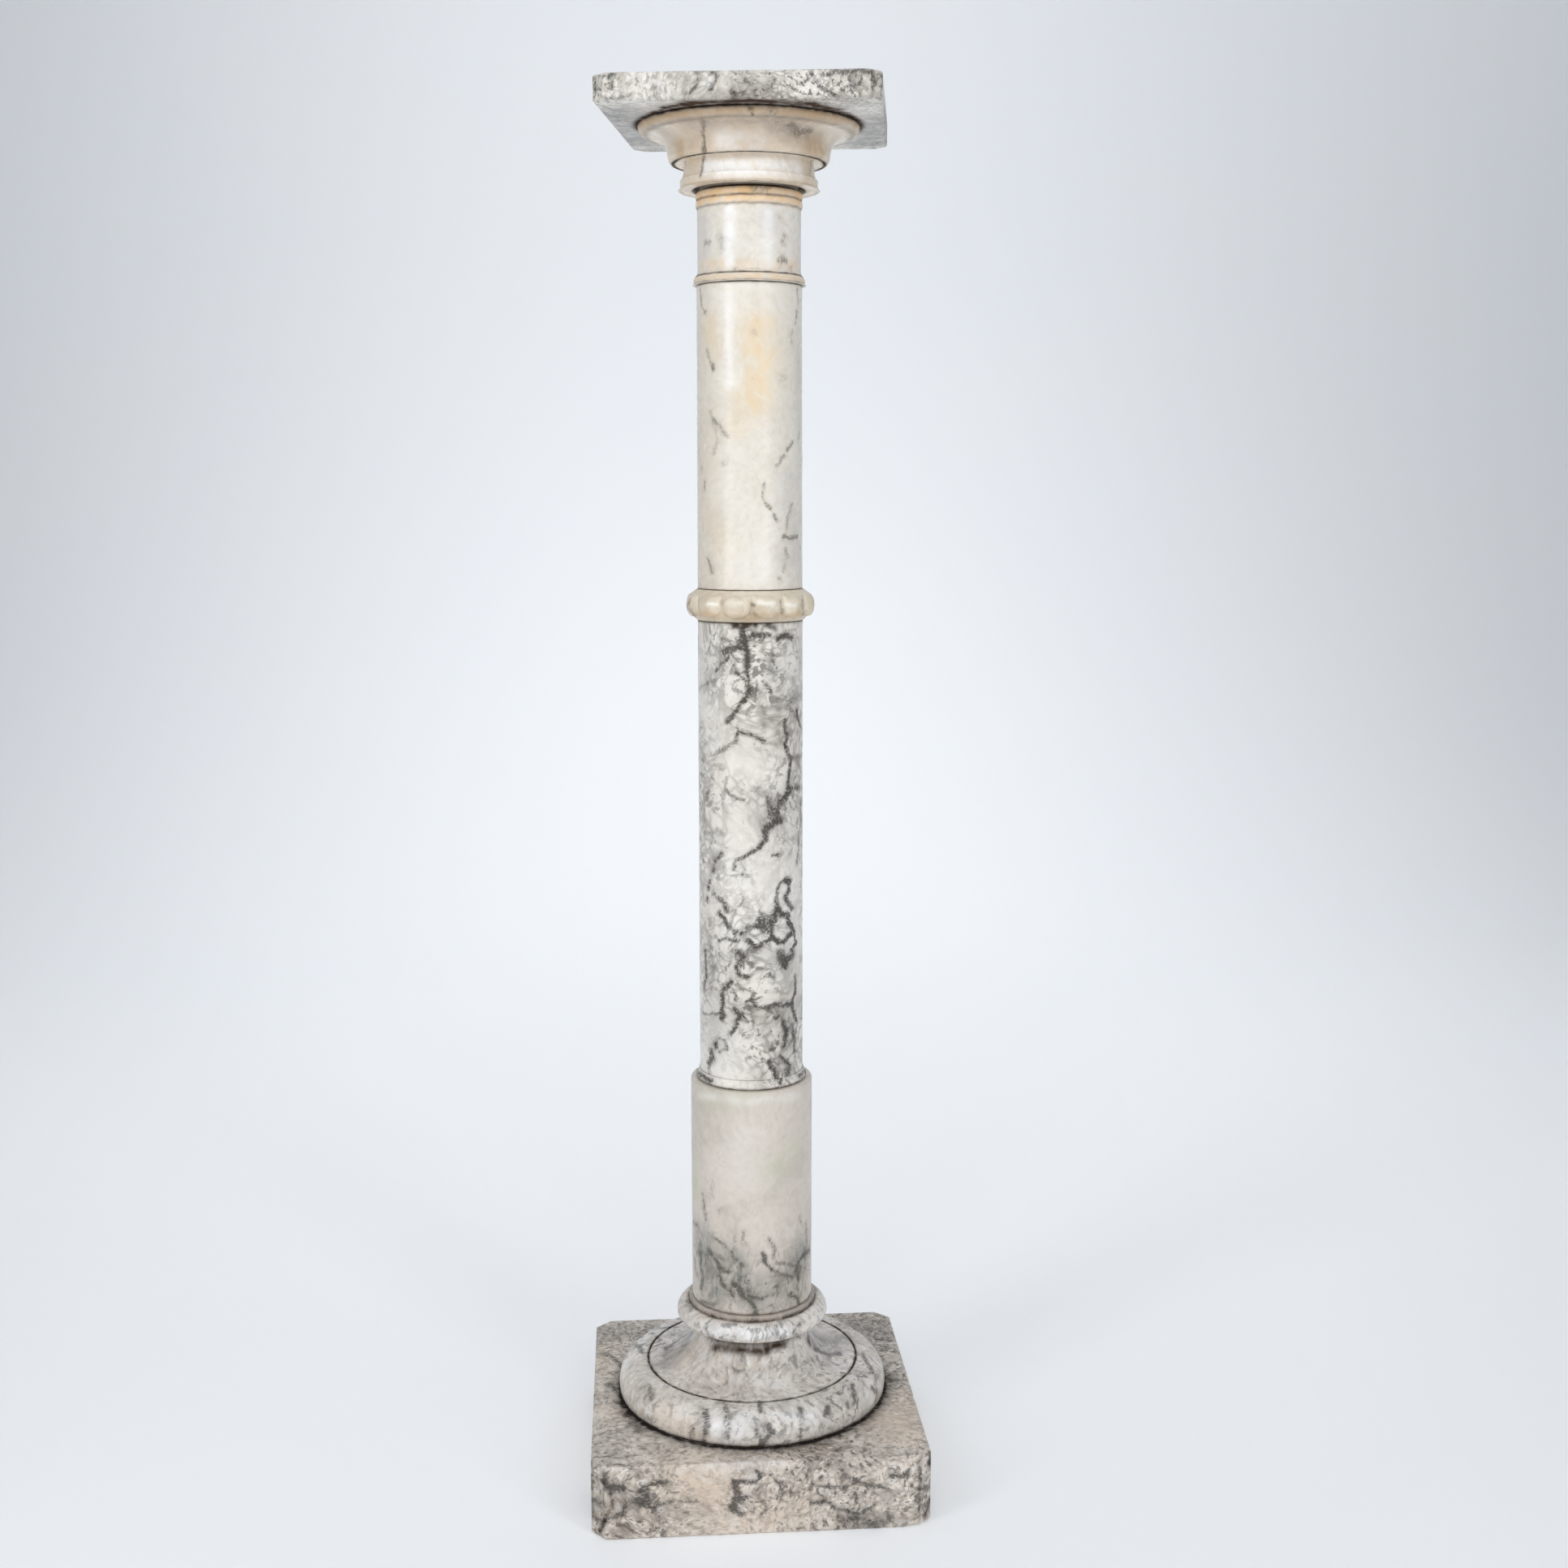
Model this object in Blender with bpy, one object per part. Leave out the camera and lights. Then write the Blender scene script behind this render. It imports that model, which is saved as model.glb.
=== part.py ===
"""Marble pedestal: a square plinth, a turned base, a column of two shafts with a carved
collar between them, a turned neck and capital, and a square top slab.

Metres, +Z up. The origin is the middle of the plinth's underside, and the X and Y axes
run along the plinth's sides. Each stone is modelled on its own underside, and stands on
the stone below it.
"""
import math

import bmesh
import bpy

# Joints between stones, and fineness
JOINT = 0.0003
SIDES = 48
ARC_STEPS = 4
SHORT_ARC_STEPS = 3
EDGE_STEPS = 2
WELD_DISTANCE = 1e-6

# Plinth
PLINTH_MARGIN = 0.0218
PLINTH_HEIGHT = 0.0602
PLINTH_CLIP = 0.0110
PLINTH_ARRIS = 0.0020

# Base moulding: torus, cut line, scotia, stem, ring and fillet
TORUS_PROJECTION = 0.0243
TORUS_UNDERCUT = 0.0012
TORUS_LOWER_HEIGHT = 0.0090
TORUS_UPPER_HEIGHT = 0.0178
CUT_LINE_WIDTH = 0.0020
CUT_LINE_DEPTH = 0.0012
SCOTIA_SPREAD = 0.0405
SCOTIA_HEIGHT = 0.0299
STEM_SETBACK = 0.0160
STEM_HEIGHT = 0.0047
RING_ROLL = 0.0102
RING_LOWER_HEIGHT = 0.0063
RING_UPPER_HEIGHT = 0.0105
FILLET_HEIGHT = 0.0041
FILLET_LEDGE = 0.0028

# Lower drum
DRUM_LEDGE = 0.0048
DRUM_HEIGHT = 0.1877
DRUM_ARRIS = 0.0012

# Lower shaft
LOWER_SHAFT_RADIUS = 0.0422
LOWER_SHAFT_TAPER = 0.0005
LOWER_SHAFT_HEIGHT = 0.3733
FOOT_BAND_HEIGHT = 0.0022
FOOT_FLARE = 0.0028
FOOT_FLARE_HEIGHT = 0.0110

# Carved collar
COLLAR_LEDGE = 0.0006
COLLAR_PROJECTION = 0.0044
COLLAR_LOWER_BEVEL = 0.0042
COLLAR_BODY_HEIGHT = 0.0169
COLLAR_UPPER_BEVEL = 0.0036
LOBE_COUNT = 12
LOBE_COLUMNS = 7
LOBE_ROWS = 6
LOBE_RELIEF = 0.0050
LOBE_OVERLAP = 0.0014
LOBE_STRAIGHT_PART = 0.45
LOBE_TURN = -1.5

# Upper shaft
UPPER_SHAFT_RADIUS = 0.0415
UPPER_SHAFT_TAPER = 0.0006
UPPER_SHAFT_HEIGHT = 0.2317

# Neck: astragal, hollow, drum, bead rings and the seat of the capital
ASTRAGAL_PROJECTION = 0.0026
ASTRAGAL_HEIGHT = 0.0066
NECK_INSET = 0.0008
NECK_HOLLOW = 0.0017
NECK_HOLLOW_HEIGHT = 0.0053
NECK_DRUM_HEIGHT = 0.0450
BEAD_COUNT = 2
BEAD_HEIGHT = 0.0061
BEAD_PROJECTION = 0.0012
BEAD_DEPTH = 0.0010
SEAT_INSET = 0.0040
SEAT_HEIGHT = 0.0014

# Capital: lip, throat, roll, bell and rim
LIP_OVERHANG = 0.0117
LIP_ROUND = 0.0026
LIP_BAND_HEIGHT = 0.0044
THROAT_DEPTH = 0.0030
THROAT_HEIGHT = 0.0125
ROLL_STEP = 0.0090
ROLL_PROJECTION = 0.0035
ROLL_HEIGHT = 0.0070
BELL_SPREAD = 0.0170
BELL_HEIGHT = 0.0140
RIM_OVERHANG = 0.0055
RIM_DROP = 0.0058
RIM_BAND_HEIGHT = 0.0011

# Top slab
SLAB_MARGIN = 0.0189
SLAB_HEIGHT = 0.0198
SLAB_CLIP = 0.0085
SLAB_ARRIS = 0.0015
SLAB_TURN = -8.6

# Radii that each member takes from the one it meets
SHAFT_FOOT_RADIUS = LOWER_SHAFT_RADIUS + FOOT_FLARE
DRUM_RADIUS = SHAFT_FOOT_RADIUS + DRUM_LEDGE
FILLET_RADIUS = DRUM_RADIUS + FILLET_LEDGE
RING_RADIUS = FILLET_RADIUS + RING_ROLL
STEM_RADIUS = RING_RADIUS - STEM_SETBACK
SCOTIA_RADIUS = STEM_RADIUS + SCOTIA_SPREAD
TORUS_RADIUS = SCOTIA_RADIUS + TORUS_PROJECTION
PLINTH_WIDTH = 2 * (TORUS_RADIUS + PLINTH_MARGIN)
LOWER_SHAFT_TOP_RADIUS = LOWER_SHAFT_RADIUS - LOWER_SHAFT_TAPER
COLLAR_FOOT_RADIUS = LOWER_SHAFT_TOP_RADIUS + COLLAR_LEDGE
COLLAR_TOP_RADIUS = UPPER_SHAFT_RADIUS + COLLAR_LEDGE
COLLAR_RADIUS = max(COLLAR_FOOT_RADIUS, COLLAR_TOP_RADIUS) + COLLAR_PROJECTION
UPPER_SHAFT_TOP_RADIUS = UPPER_SHAFT_RADIUS - UPPER_SHAFT_TAPER
NECK_RADIUS = UPPER_SHAFT_TOP_RADIUS - NECK_INSET
BEAD_RADIUS = NECK_RADIUS + BEAD_PROJECTION
SEAT_RADIUS = BEAD_RADIUS - SEAT_INSET
LIP_RADIUS = BEAD_RADIUS + LIP_OVERHANG
THROAT_RADIUS = LIP_RADIUS - THROAT_DEPTH
ROLL_FOOT_RADIUS = THROAT_RADIUS + ROLL_STEP
ROLL_RADIUS = ROLL_FOOT_RADIUS + ROLL_PROJECTION
BELL_RADIUS = ROLL_RADIUS + BELL_SPREAD
RIM_RADIUS = BELL_RADIUS + RIM_OVERHANG
SLAB_WIDTH = 2 * (RIM_RADIUS + SLAB_MARGIN)

# Shading: edges sharper than this angle stay crisp
CREASE = math.radians(35)

# Linear base colour and roughness of each stone
FINISHES = {
    "plinth": ((0.50, 0.43, 0.37), 0.42),
    "base_moulding": ((0.60, 0.55, 0.50), 0.34),
    "lower_drum": ((0.64, 0.59, 0.54), 0.32),
    "lower_shaft": ((0.55, 0.53, 0.50), 0.26),
    "carved_collar": ((0.66, 0.55, 0.43), 0.34),
    "upper_shaft": ((0.76, 0.69, 0.58), 0.22),
    "neck": ((0.74, 0.68, 0.60), 0.22),
    "capital": ((0.72, 0.65, 0.56), 0.24),
    "top_slab": ((0.58, 0.54, 0.48), 0.36),
}


def clear_scene():
    """Removes whatever objects the open file holds."""
    for item in list(bpy.data.objects):
        bpy.data.objects.remove(item, do_unlink=True)


def marble(name):
    """The polished marble of one stone."""
    colour, roughness = FINISHES[name]
    material = bpy.data.materials.new(name)
    material.use_nodes = True
    shader = material.node_tree.nodes["Principled BSDF"]
    shader.inputs["Base Color"].default_value = (*colour, 1.0)
    shader.inputs["Roughness"].default_value = roughness
    shader.inputs["Metallic"].default_value = 0.0
    return material


def arc(centre, reach, rise, start, end, steps=ARC_STEPS):
    """Points (radius, height) along an upright ellipse, between two angles in degrees.

    reach and rise are its half width and half height. Angle 0 points away from the axis
    and 90 points up.
    """
    points = []
    for step in range(steps + 1):
        angle = math.radians(start + (end - start) * step / steps)
        points.append((centre[0] + reach * math.cos(angle), centre[1] + rise * math.sin(angle)))
    return points


def turned(outline, sides=SIDES):
    """A lathe-turned solid, from its outline of (radius, height) points, foot to top."""
    bm = bmesh.new()
    profile = [(0.0, outline[0][1]), *outline, (0.0, outline[-1][1])]
    corners = [bm.verts.new((radius, 0.0, height)) for radius, height in profile]
    edges = [bm.edges.new(pair) for pair in zip(corners, corners[1:])]
    bmesh.ops.spin(
        bm, geom=corners + edges, cent=(0, 0, 0), axis=(0, 0, 1), angle=math.tau, steps=sides, use_merge=True
    )
    bmesh.ops.remove_doubles(bm, verts=bm.verts[:], dist=WELD_DISTANCE)
    return bm


def block(width, height, clip, arris):
    """A square block on its underside, with clipped corners and rounded edges."""
    bm = bmesh.new()
    bmesh.ops.create_cube(bm, size=1.0)
    bmesh.ops.scale(bm, vec=(width, width, height), verts=bm.verts[:])
    bmesh.ops.translate(bm, vec=(0, 0, height / 2), verts=bm.verts[:])
    upright = [edge for edge in bm.edges if edge.verts[0].co.z != edge.verts[1].co.z]
    bmesh.ops.bevel(bm, geom=upright, offset=clip, segments=1, affect="EDGES")
    level = [edge for edge in bm.edges if edge.verts[0].co.z == edge.verts[1].co.z]
    bmesh.ops.bevel(bm, geom=level, offset=arris, segments=EDGE_STEPS, profile=0.5, affect="EDGES")
    return bm


def base_moulding():
    """The turned base, from its foot on the plinth up to the fillet under the drum."""
    half_line = CUT_LINE_WIDTH / 2
    scotia_foot = TORUS_LOWER_HEIGHT + TORUS_UPPER_HEIGHT
    scotia_top = scotia_foot + SCOTIA_HEIGHT
    ring_middle = scotia_top + STEM_HEIGHT + RING_LOWER_HEIGHT
    ring_top = ring_middle + RING_UPPER_HEIGHT
    torus_foot = (TORUS_RADIUS - TORUS_UNDERCUT, TORUS_LOWER_HEIGHT)
    torus_crown = (SCOTIA_RADIUS + half_line, TORUS_LOWER_HEIGHT)
    torus_reach = TORUS_PROJECTION - half_line
    scotia_centre = (SCOTIA_RADIUS - half_line, scotia_top)
    scotia_reach = SCOTIA_SPREAD - half_line
    ring_centre = (FILLET_RADIUS, ring_middle)
    return turned([
        *arc(torus_foot, TORUS_UNDERCUT, TORUS_LOWER_HEIGHT, -90, 0, SHORT_ARC_STEPS),
        *arc(torus_crown, torus_reach, TORUS_UPPER_HEIGHT, 0, 90)[1:],
        (SCOTIA_RADIUS, scotia_foot - CUT_LINE_DEPTH),
        *arc(scotia_centre, scotia_reach, SCOTIA_HEIGHT, 270, 180),
        *arc(ring_centre, RING_ROLL, RING_LOWER_HEIGHT, -90, 0, SHORT_ARC_STEPS),
        *arc(ring_centre, RING_ROLL, RING_UPPER_HEIGHT, 0, 90)[1:],
        (FILLET_RADIUS, ring_top + FILLET_HEIGHT),
    ])


def lower_drum():
    """The plain drum, with an eased edge round its top."""
    return turned([
        (DRUM_RADIUS, 0.0),
        (DRUM_RADIUS, DRUM_HEIGHT - DRUM_ARRIS),
        (DRUM_RADIUS - DRUM_ARRIS, DRUM_HEIGHT),
    ])


def lower_shaft():
    """The veined shaft, tapering upwards from a flared foot."""
    flare_centre = (SHAFT_FOOT_RADIUS, FOOT_BAND_HEIGHT + FOOT_FLARE_HEIGHT)
    return turned([
        (SHAFT_FOOT_RADIUS, 0.0),
        *arc(flare_centre, FOOT_FLARE, FOOT_FLARE_HEIGHT, 270, 180, SHORT_ARC_STEPS),
        (LOWER_SHAFT_TOP_RADIUS, LOWER_SHAFT_HEIGHT),
    ])


def lobe_relief(angle, height):
    """How far the carving stands out of the collar's body, at an angle and a height.

    Each lobe is a tongue: full width at its top, then narrowing to a round tip.
    """
    lobe_tip = COLLAR_LOWER_BEVEL - LOBE_OVERLAP
    lobe_top = COLLAR_LOWER_BEVEL + COLLAR_BODY_HEIGHT
    down = (lobe_top - height) / (lobe_top - lobe_tip)
    if not 0.0 < down < 1.0:
        return 0.0
    across = 2 * abs((angle * LOBE_COUNT / math.tau) % 1.0 - 0.5)
    past_straight = max(0.0, down - LOBE_STRAIGHT_PART) / (1.0 - LOBE_STRAIGHT_PART)
    half_width = math.sqrt(1.0 - past_straight ** 2)
    if across >= half_width:
        return 0.0
    crown = math.sqrt(1.0 - (across / half_width) ** 2)
    swell = math.sqrt(1.0 - (2 * down - 1.0) ** 2)
    return LOBE_RELIEF * crown * swell


def carved_collar():
    """The collar between the shafts, with a band of lobes carved round its body."""
    outline = [(COLLAR_FOOT_RADIUS, 0.0)]
    for row in range(LOBE_ROWS + 1):
        outline.append((COLLAR_RADIUS, COLLAR_LOWER_BEVEL + COLLAR_BODY_HEIGHT * row / LOBE_ROWS))
    collar_top = COLLAR_LOWER_BEVEL + COLLAR_BODY_HEIGHT + COLLAR_UPPER_BEVEL
    outline.append((COLLAR_TOP_RADIUS, collar_top))
    bm = turned(outline, LOBE_COUNT * LOBE_COLUMNS)
    for vert in bm.verts:
        radius = math.hypot(vert.co.x, vert.co.y)
        if radius > COLLAR_RADIUS / 2:
            relief = lobe_relief(math.atan2(vert.co.y, vert.co.x), vert.co.z)
            vert.co.x *= 1.0 + relief / radius
            vert.co.y *= 1.0 + relief / radius
    return bm


def upper_shaft():
    """The cream shaft, tapering upwards."""
    return turned([(UPPER_SHAFT_RADIUS, 0.0), (UPPER_SHAFT_TOP_RADIUS, UPPER_SHAFT_HEIGHT)])


def neck():
    """The neck: astragal, hollow, drum and bead rings, and on top a low seat."""
    half_astragal = ASTRAGAL_HEIGHT / 2
    astragal_centre = (UPPER_SHAFT_TOP_RADIUS, half_astragal)
    hollow_centre = (NECK_RADIUS + NECK_HOLLOW, ASTRAGAL_HEIGHT + NECK_HOLLOW_HEIGHT)
    outline = [
        *arc(astragal_centre, ASTRAGAL_PROJECTION, half_astragal, -90, 90),
        *arc(hollow_centre, NECK_HOLLOW, NECK_HOLLOW_HEIGHT, 270, 180, SHORT_ARC_STEPS),
    ]
    height = ASTRAGAL_HEIGHT + NECK_HOLLOW_HEIGHT + NECK_DRUM_HEIGHT
    outline.append((NECK_RADIUS, height))
    for _bead in range(BEAD_COUNT):
        bead_centre = (BEAD_RADIUS - BEAD_DEPTH, height + BEAD_HEIGHT / 2)
        outline += arc(bead_centre, BEAD_DEPTH, BEAD_HEIGHT / 2, -90, 90, SHORT_ARC_STEPS)
        height += BEAD_HEIGHT
    outline += [(SEAT_RADIUS, height), (SEAT_RADIUS, height + SEAT_HEIGHT)]
    return turned(outline)


def capital():
    """The capital: lip, throat, a roll with a step under it, hollow bell and rim."""
    throat_foot = LIP_ROUND + LIP_BAND_HEIGHT
    roll_foot = throat_foot + THROAT_HEIGHT
    bell_foot = roll_foot + ROLL_HEIGHT
    rim_foot = bell_foot + BELL_HEIGHT
    rim_centre = (BELL_RADIUS, rim_foot + RIM_DROP)
    return turned([
        *arc((LIP_RADIUS - LIP_ROUND, LIP_ROUND), LIP_ROUND, LIP_ROUND, -90, 0, SHORT_ARC_STEPS),
        *arc((LIP_RADIUS, roll_foot), THROAT_DEPTH, THROAT_HEIGHT, 270, 180, SHORT_ARC_STEPS),
        *arc((ROLL_FOOT_RADIUS, bell_foot), ROLL_PROJECTION, ROLL_HEIGHT, -90, 0, SHORT_ARC_STEPS),
        *arc((BELL_RADIUS, bell_foot), BELL_SPREAD, BELL_HEIGHT, 180, 90)[1:],
        *arc(rim_centre, RIM_OVERHANG, RIM_DROP, -90, 0, SHORT_ARC_STEPS)[1:],
        (RIM_RADIUS, rim_centre[1] + RIM_BAND_HEIGHT),
    ])


def stand(name, bm, level, turn, pedestal):
    """Stands a finished stone at a level on the axis, and gives the level on top of it."""
    bmesh.ops.recalc_face_normals(bm, faces=bm.faces[:])
    height = max(vert.co.z for vert in bm.verts)
    mesh = bpy.data.meshes.new(name)
    bm.to_mesh(mesh)
    bm.free()
    mesh.shade_smooth()
    mesh.set_sharp_from_angle(angle=CREASE)
    mesh.materials.append(marble(name))
    piece = bpy.data.objects.new(name, mesh)
    piece.location.z = level
    piece.rotation_euler.z = math.radians(turn)
    piece.parent = pedestal
    bpy.context.scene.collection.objects.link(piece)
    return level + height + JOINT


def build():
    """Builds the stones and stacks them from the floor up."""
    pedestal = bpy.data.objects.new("marble_pedestal", None)
    bpy.context.scene.collection.objects.link(pedestal)
    stones = [
        ("plinth", block(PLINTH_WIDTH, PLINTH_HEIGHT, PLINTH_CLIP, PLINTH_ARRIS), 0.0),
        ("base_moulding", base_moulding(), 0.0),
        ("lower_drum", lower_drum(), 0.0),
        ("lower_shaft", lower_shaft(), 0.0),
        ("carved_collar", carved_collar(), LOBE_TURN),
        ("upper_shaft", upper_shaft(), 0.0),
        ("neck", neck(), 0.0),
        ("capital", capital(), 0.0),
        ("top_slab", block(SLAB_WIDTH, SLAB_HEIGHT, SLAB_CLIP, SLAB_ARRIS), SLAB_TURN),
    ]
    level = 0.0
    for name, bm, turn in stones:
        level = stand(name, bm, level, turn, pedestal)


clear_scene()
build()
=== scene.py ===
"""The looks of a worn marble pedestal in a pale studio, built round its solids.

Metres, +Z up, in the solids' own frame. Each stone is made again finely, inside its solid, then
weathered, chipped and painted where the photograph shows veins, stains, pale patches, grimy joints
and grooves, painted shade and shadows under rims and in gaps, and painted highlights.
"""

import math

import bpy
import numpy as np
from mathutils import Euler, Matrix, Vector, noise
from mathutils.bvhtree import BVHTree


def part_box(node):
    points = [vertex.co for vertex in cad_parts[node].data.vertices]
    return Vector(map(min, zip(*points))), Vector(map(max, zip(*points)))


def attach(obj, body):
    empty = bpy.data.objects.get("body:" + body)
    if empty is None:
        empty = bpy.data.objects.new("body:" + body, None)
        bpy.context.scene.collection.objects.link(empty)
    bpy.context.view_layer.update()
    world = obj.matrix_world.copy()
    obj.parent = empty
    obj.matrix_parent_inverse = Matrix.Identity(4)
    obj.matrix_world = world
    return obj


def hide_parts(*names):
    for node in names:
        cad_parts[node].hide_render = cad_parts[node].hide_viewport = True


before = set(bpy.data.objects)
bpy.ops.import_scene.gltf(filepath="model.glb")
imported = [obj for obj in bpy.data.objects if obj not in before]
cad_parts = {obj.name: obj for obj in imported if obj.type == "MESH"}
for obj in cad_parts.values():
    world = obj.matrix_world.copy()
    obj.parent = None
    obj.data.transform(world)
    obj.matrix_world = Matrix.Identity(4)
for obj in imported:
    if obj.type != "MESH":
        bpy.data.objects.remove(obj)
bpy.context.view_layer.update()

# The camera, and the photograph that its pixel places are read from
CAMERA_PLACE = Vector((-0.0917, -1.4990, 0.8032))
CAMERA_ANGLES = Euler((math.radians(81.266), 0.0, math.radians(-4.525)))
LENS = 43.365
SENSOR = 36.0
PHOTO_PIXELS = 1932
FOCAL_PIXELS = LENS / SENSOR * PHOTO_PIXELS

# Fineness of the stones: steps up a side, round a square, and across a level face
MM = 0.001
STEP = 1.3 * MM
FINE_STEP = 0.6 * MM
SIDE_STEPS = {"capital": FINE_STEP, "neck": FINE_STEP, "carved_collar": FINE_STEP}
BLOCK_STEP = 1.7 * MM
LEVEL_STEP = 2.0 * MM
HIDDEN_STEP = 6.0 * MM
FOOT_STEPS = {"capital": STEP, "top_slab": LEVEL_STEP}
TOP_STEPS = {"top_slab": LEVEL_STEP, "plinth": LEVEL_STEP}
SIDES = 216
COLLAR_SIDES = 432
SAME_PLACE = 1e-5

# Wear: the smallest corner that is worn, how finely, and the soft lumps of the surface
CORNER_TURN = math.radians(30)
CORNER_STEPS = 4
LONGEST_CUT = 0.9
WEATHER_DEPTH = 0.25 * MM
WEATHER_LUMPS = 60

# Painting: step along a line of pixels, and how far edges wander, as lumps to a metre and reach
# The layers: veins, web, clouds and painted shade, stains and painted shade, pale patches and painted
# highlights, and grime with dark joints and painted shade and shadows
LAYERS = ("vein", "web", "cloud_and_shade", "stain_and_shade", "pale", "grime_and_shade")
STROKE_PIXELS = 1.5
WANDER_LUMPS = 160
WANDER_REACH = 1.3 * MM
SMALL_WANDER_LUMPS = 480
SMALL_WANDER_REACH = 0.6 * MM
RING_WANDER = 0.35

# Turns at which marks come again on unseen sides. On a square block, only those on its sides do
ROUND_TURNS = (180,)
BLOCK_TURNS = (90, 180, 270)
EDGE_MARGIN = 3.0 * MM

# Square blocks: half width, clip of the corners, worn arris and turn in degrees
BLOCKS = {
    "plinth": {"half_width": 133.4 * MM, "clip": 11.0 * MM, "arris": 2.0 * MM, "turn": 0.0},
    "top_slab": {"half_width": 103.9 * MM, "clip": 8.5 * MM, "arris": 1.5 * MM, "turn": -8.6},
}

# Collar: radii of its foot, body and top, heights of its bevels, and its lobes
COLLAR_FOOT = 42.3 * MM
COLLAR_BODY = 46.7 * MM
COLLAR_CREST = 42.1 * MM
COLLAR_LOWER_BEVEL = 4.2 * MM
COLLAR_UPPER_BEVEL = 3.6 * MM
LOBES = 12
LOBE_RELIEF = 5.0 * MM
LOBE_TURN = -1.5
LOBE_TIP = 2.8 * MM
LOBE_TOP = 21.1 * MM
LOBE_STRAIGHT_PART = 0.45

# Shadow gap between the neck and the capital
SEAT_GAP_INSIDE = 37.8 * MM
SEAT_GAP_OUTSIDE = 42.2 * MM
SEAT_GAP_DEPTH = 4.5 * MM


def rgb(red, green, blue):
    """A colour as linear light, from its values of 0 to 255 on a screen."""
    values = [value / 255 for value in (red, green, blue)]
    return tuple(v / 12.92 if v <= 0.04045 else ((v + 0.055) / 1.055) ** 2.4 for v in values)


# Outlines and plans


def meridian(node):
    """The outline of a turned solid as (radius, height) points, foot to top, where it crosses +X."""
    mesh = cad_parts[node].data
    neighbours = {}
    keys = {}
    for vert in mesh.vertices:
        x, y, z = vert.co
        if abs(y) < SAME_PLACE and x > SAME_PLACE:
            key = (round(x, 5), round(z, 5))
            neighbours[key] = set()
            keys[vert.index] = key
    for first, second in (edge.vertices for edge in mesh.edges):
        if first in keys and second in keys and keys[first] != keys[second]:
            neighbours[keys[first]].add(keys[second])
            neighbours[keys[second]].add(keys[first])
    ends = sorted((key for key, near in neighbours.items() if len(near) == 1), key=lambda key: key[1])
    path = [ends[0]]
    while path[-1] != ends[-1]:
        path.append(next(key for key in neighbours[path[-1]] if key not in path))
    return np.array([(0.0, path[0][1]), *path, (0.0, path[-1][1])])


def block_outline(node):
    """The upright outline of a square block, through the middle of one side."""
    low, high = (corner.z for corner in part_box(node))
    wide, arris = BLOCKS[node]["half_width"], BLOCKS[node]["arris"]
    return np.array([
        (0.0, low), (wide - arris, low), (wide, low + arris),
        (wide, high - arris), (wide - arris, high), (0.0, high),
    ])


def collar_outline(node):
    """The outline of the collar's body, without its lobes."""
    low, high = (corner.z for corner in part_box(node))
    return np.array([
        (0.0, low), (COLLAR_FOOT, low), (COLLAR_BODY, low + COLLAR_LOWER_BEVEL),
        (COLLAR_BODY, high - COLLAR_UPPER_BEVEL), (COLLAR_CREST, high), (0.0, high),
    ])


def round_plan(sides):
    """A circle of radius 1."""
    angles = np.arange(sides) / sides * math.tau
    return np.column_stack([np.cos(angles), np.sin(angles)])


def square_plan(block):
    """A square of half width 1, with clipped corners and turned, in steps of equal length."""
    clip = block["clip"] / block["half_width"]
    corners = [(1, -1 + clip), (1, 1 - clip), (1 - clip, 1), (-1 + clip, 1)]
    corners += [(-x, -y) for x, y in corners]
    points = []
    for start, end in zip(corners, corners[1:] + corners[:1]):
        start, end = np.array(start), np.array(end)
        count = round(np.linalg.norm(end - start) * block["half_width"] / BLOCK_STEP)
        points += [start + (end - start) * part for part in np.arange(count) / count]
    turn = math.radians(block["turn"])
    spin = np.array([(math.cos(turn), math.sin(turn)), (-math.sin(turn), math.cos(turn))])
    return np.array(points) @ spin


def outline_and_plan(name):
    """A stone's upright outline, and its plan at radius 1."""
    if name in BLOCKS:
        return block_outline(name), square_plan(BLOCKS[name])
    if name == "carved_collar":
        return collar_outline(name), round_plan(COLLAR_SIDES)
    return meridian(name), round_plan(SIDES)


def leg_step(name, start, end):
    """How closely a stone's outline is stepped from one of its points to the next."""
    if start[0] == 0:
        return FOOT_STEPS.get(name, HIDDEN_STEP)
    if end[0] == 0:
        return TOP_STEPS.get(name, HIDDEN_STEP)
    return SIDE_STEPS.get(name, STEP)


def smooth_run(name, points):
    """A curve in short steps through the points of one smooth run of a stone's outline."""
    padded = np.vstack([2 * points[0] - points[1], points, 2 * points[-1] - points[-2]])
    run = [points[0]]
    for before, start, end, after in zip(padded, padded[1:], padded[2:], padded[3:]):
        count = math.ceil(np.linalg.norm(end - start) / leg_step(name, start, end))
        for part in np.arange(1, count + 1) / count:
            bend = (
                2 * start
                + (end - before) * part
                + (2 * before - 5 * start + 4 * end - after) * part ** 2
                + (3 * start - before - 3 * end + after) * part ** 3
            )
            run.append(bend / 2)
    return np.array(run)


def cut_end(points, length):
    """The same line with a length taken off its end."""
    steps = np.linalg.norm(np.diff(points, axis=0), axis=1)
    while len(points) > 2 and steps[-1] < length:
        length -= steps[-1]
        points, steps = points[:-1], steps[:-1]
    part = min(length / steps[-1], LONGEST_CUT)
    end = points[-1] + (points[-2] - points[-1]) * part
    return np.vstack([points[:-1], end])


def worn_corner(before, corner, after):
    """The points of a soft bend from one end to the other, drawn towards the corner."""
    parts = np.arange(1, CORNER_STEPS) / CORNER_STEPS
    return [(1 - part) ** 2 * before + 2 * part * (1 - part) * corner + part ** 2 * after for part in parts]


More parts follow.
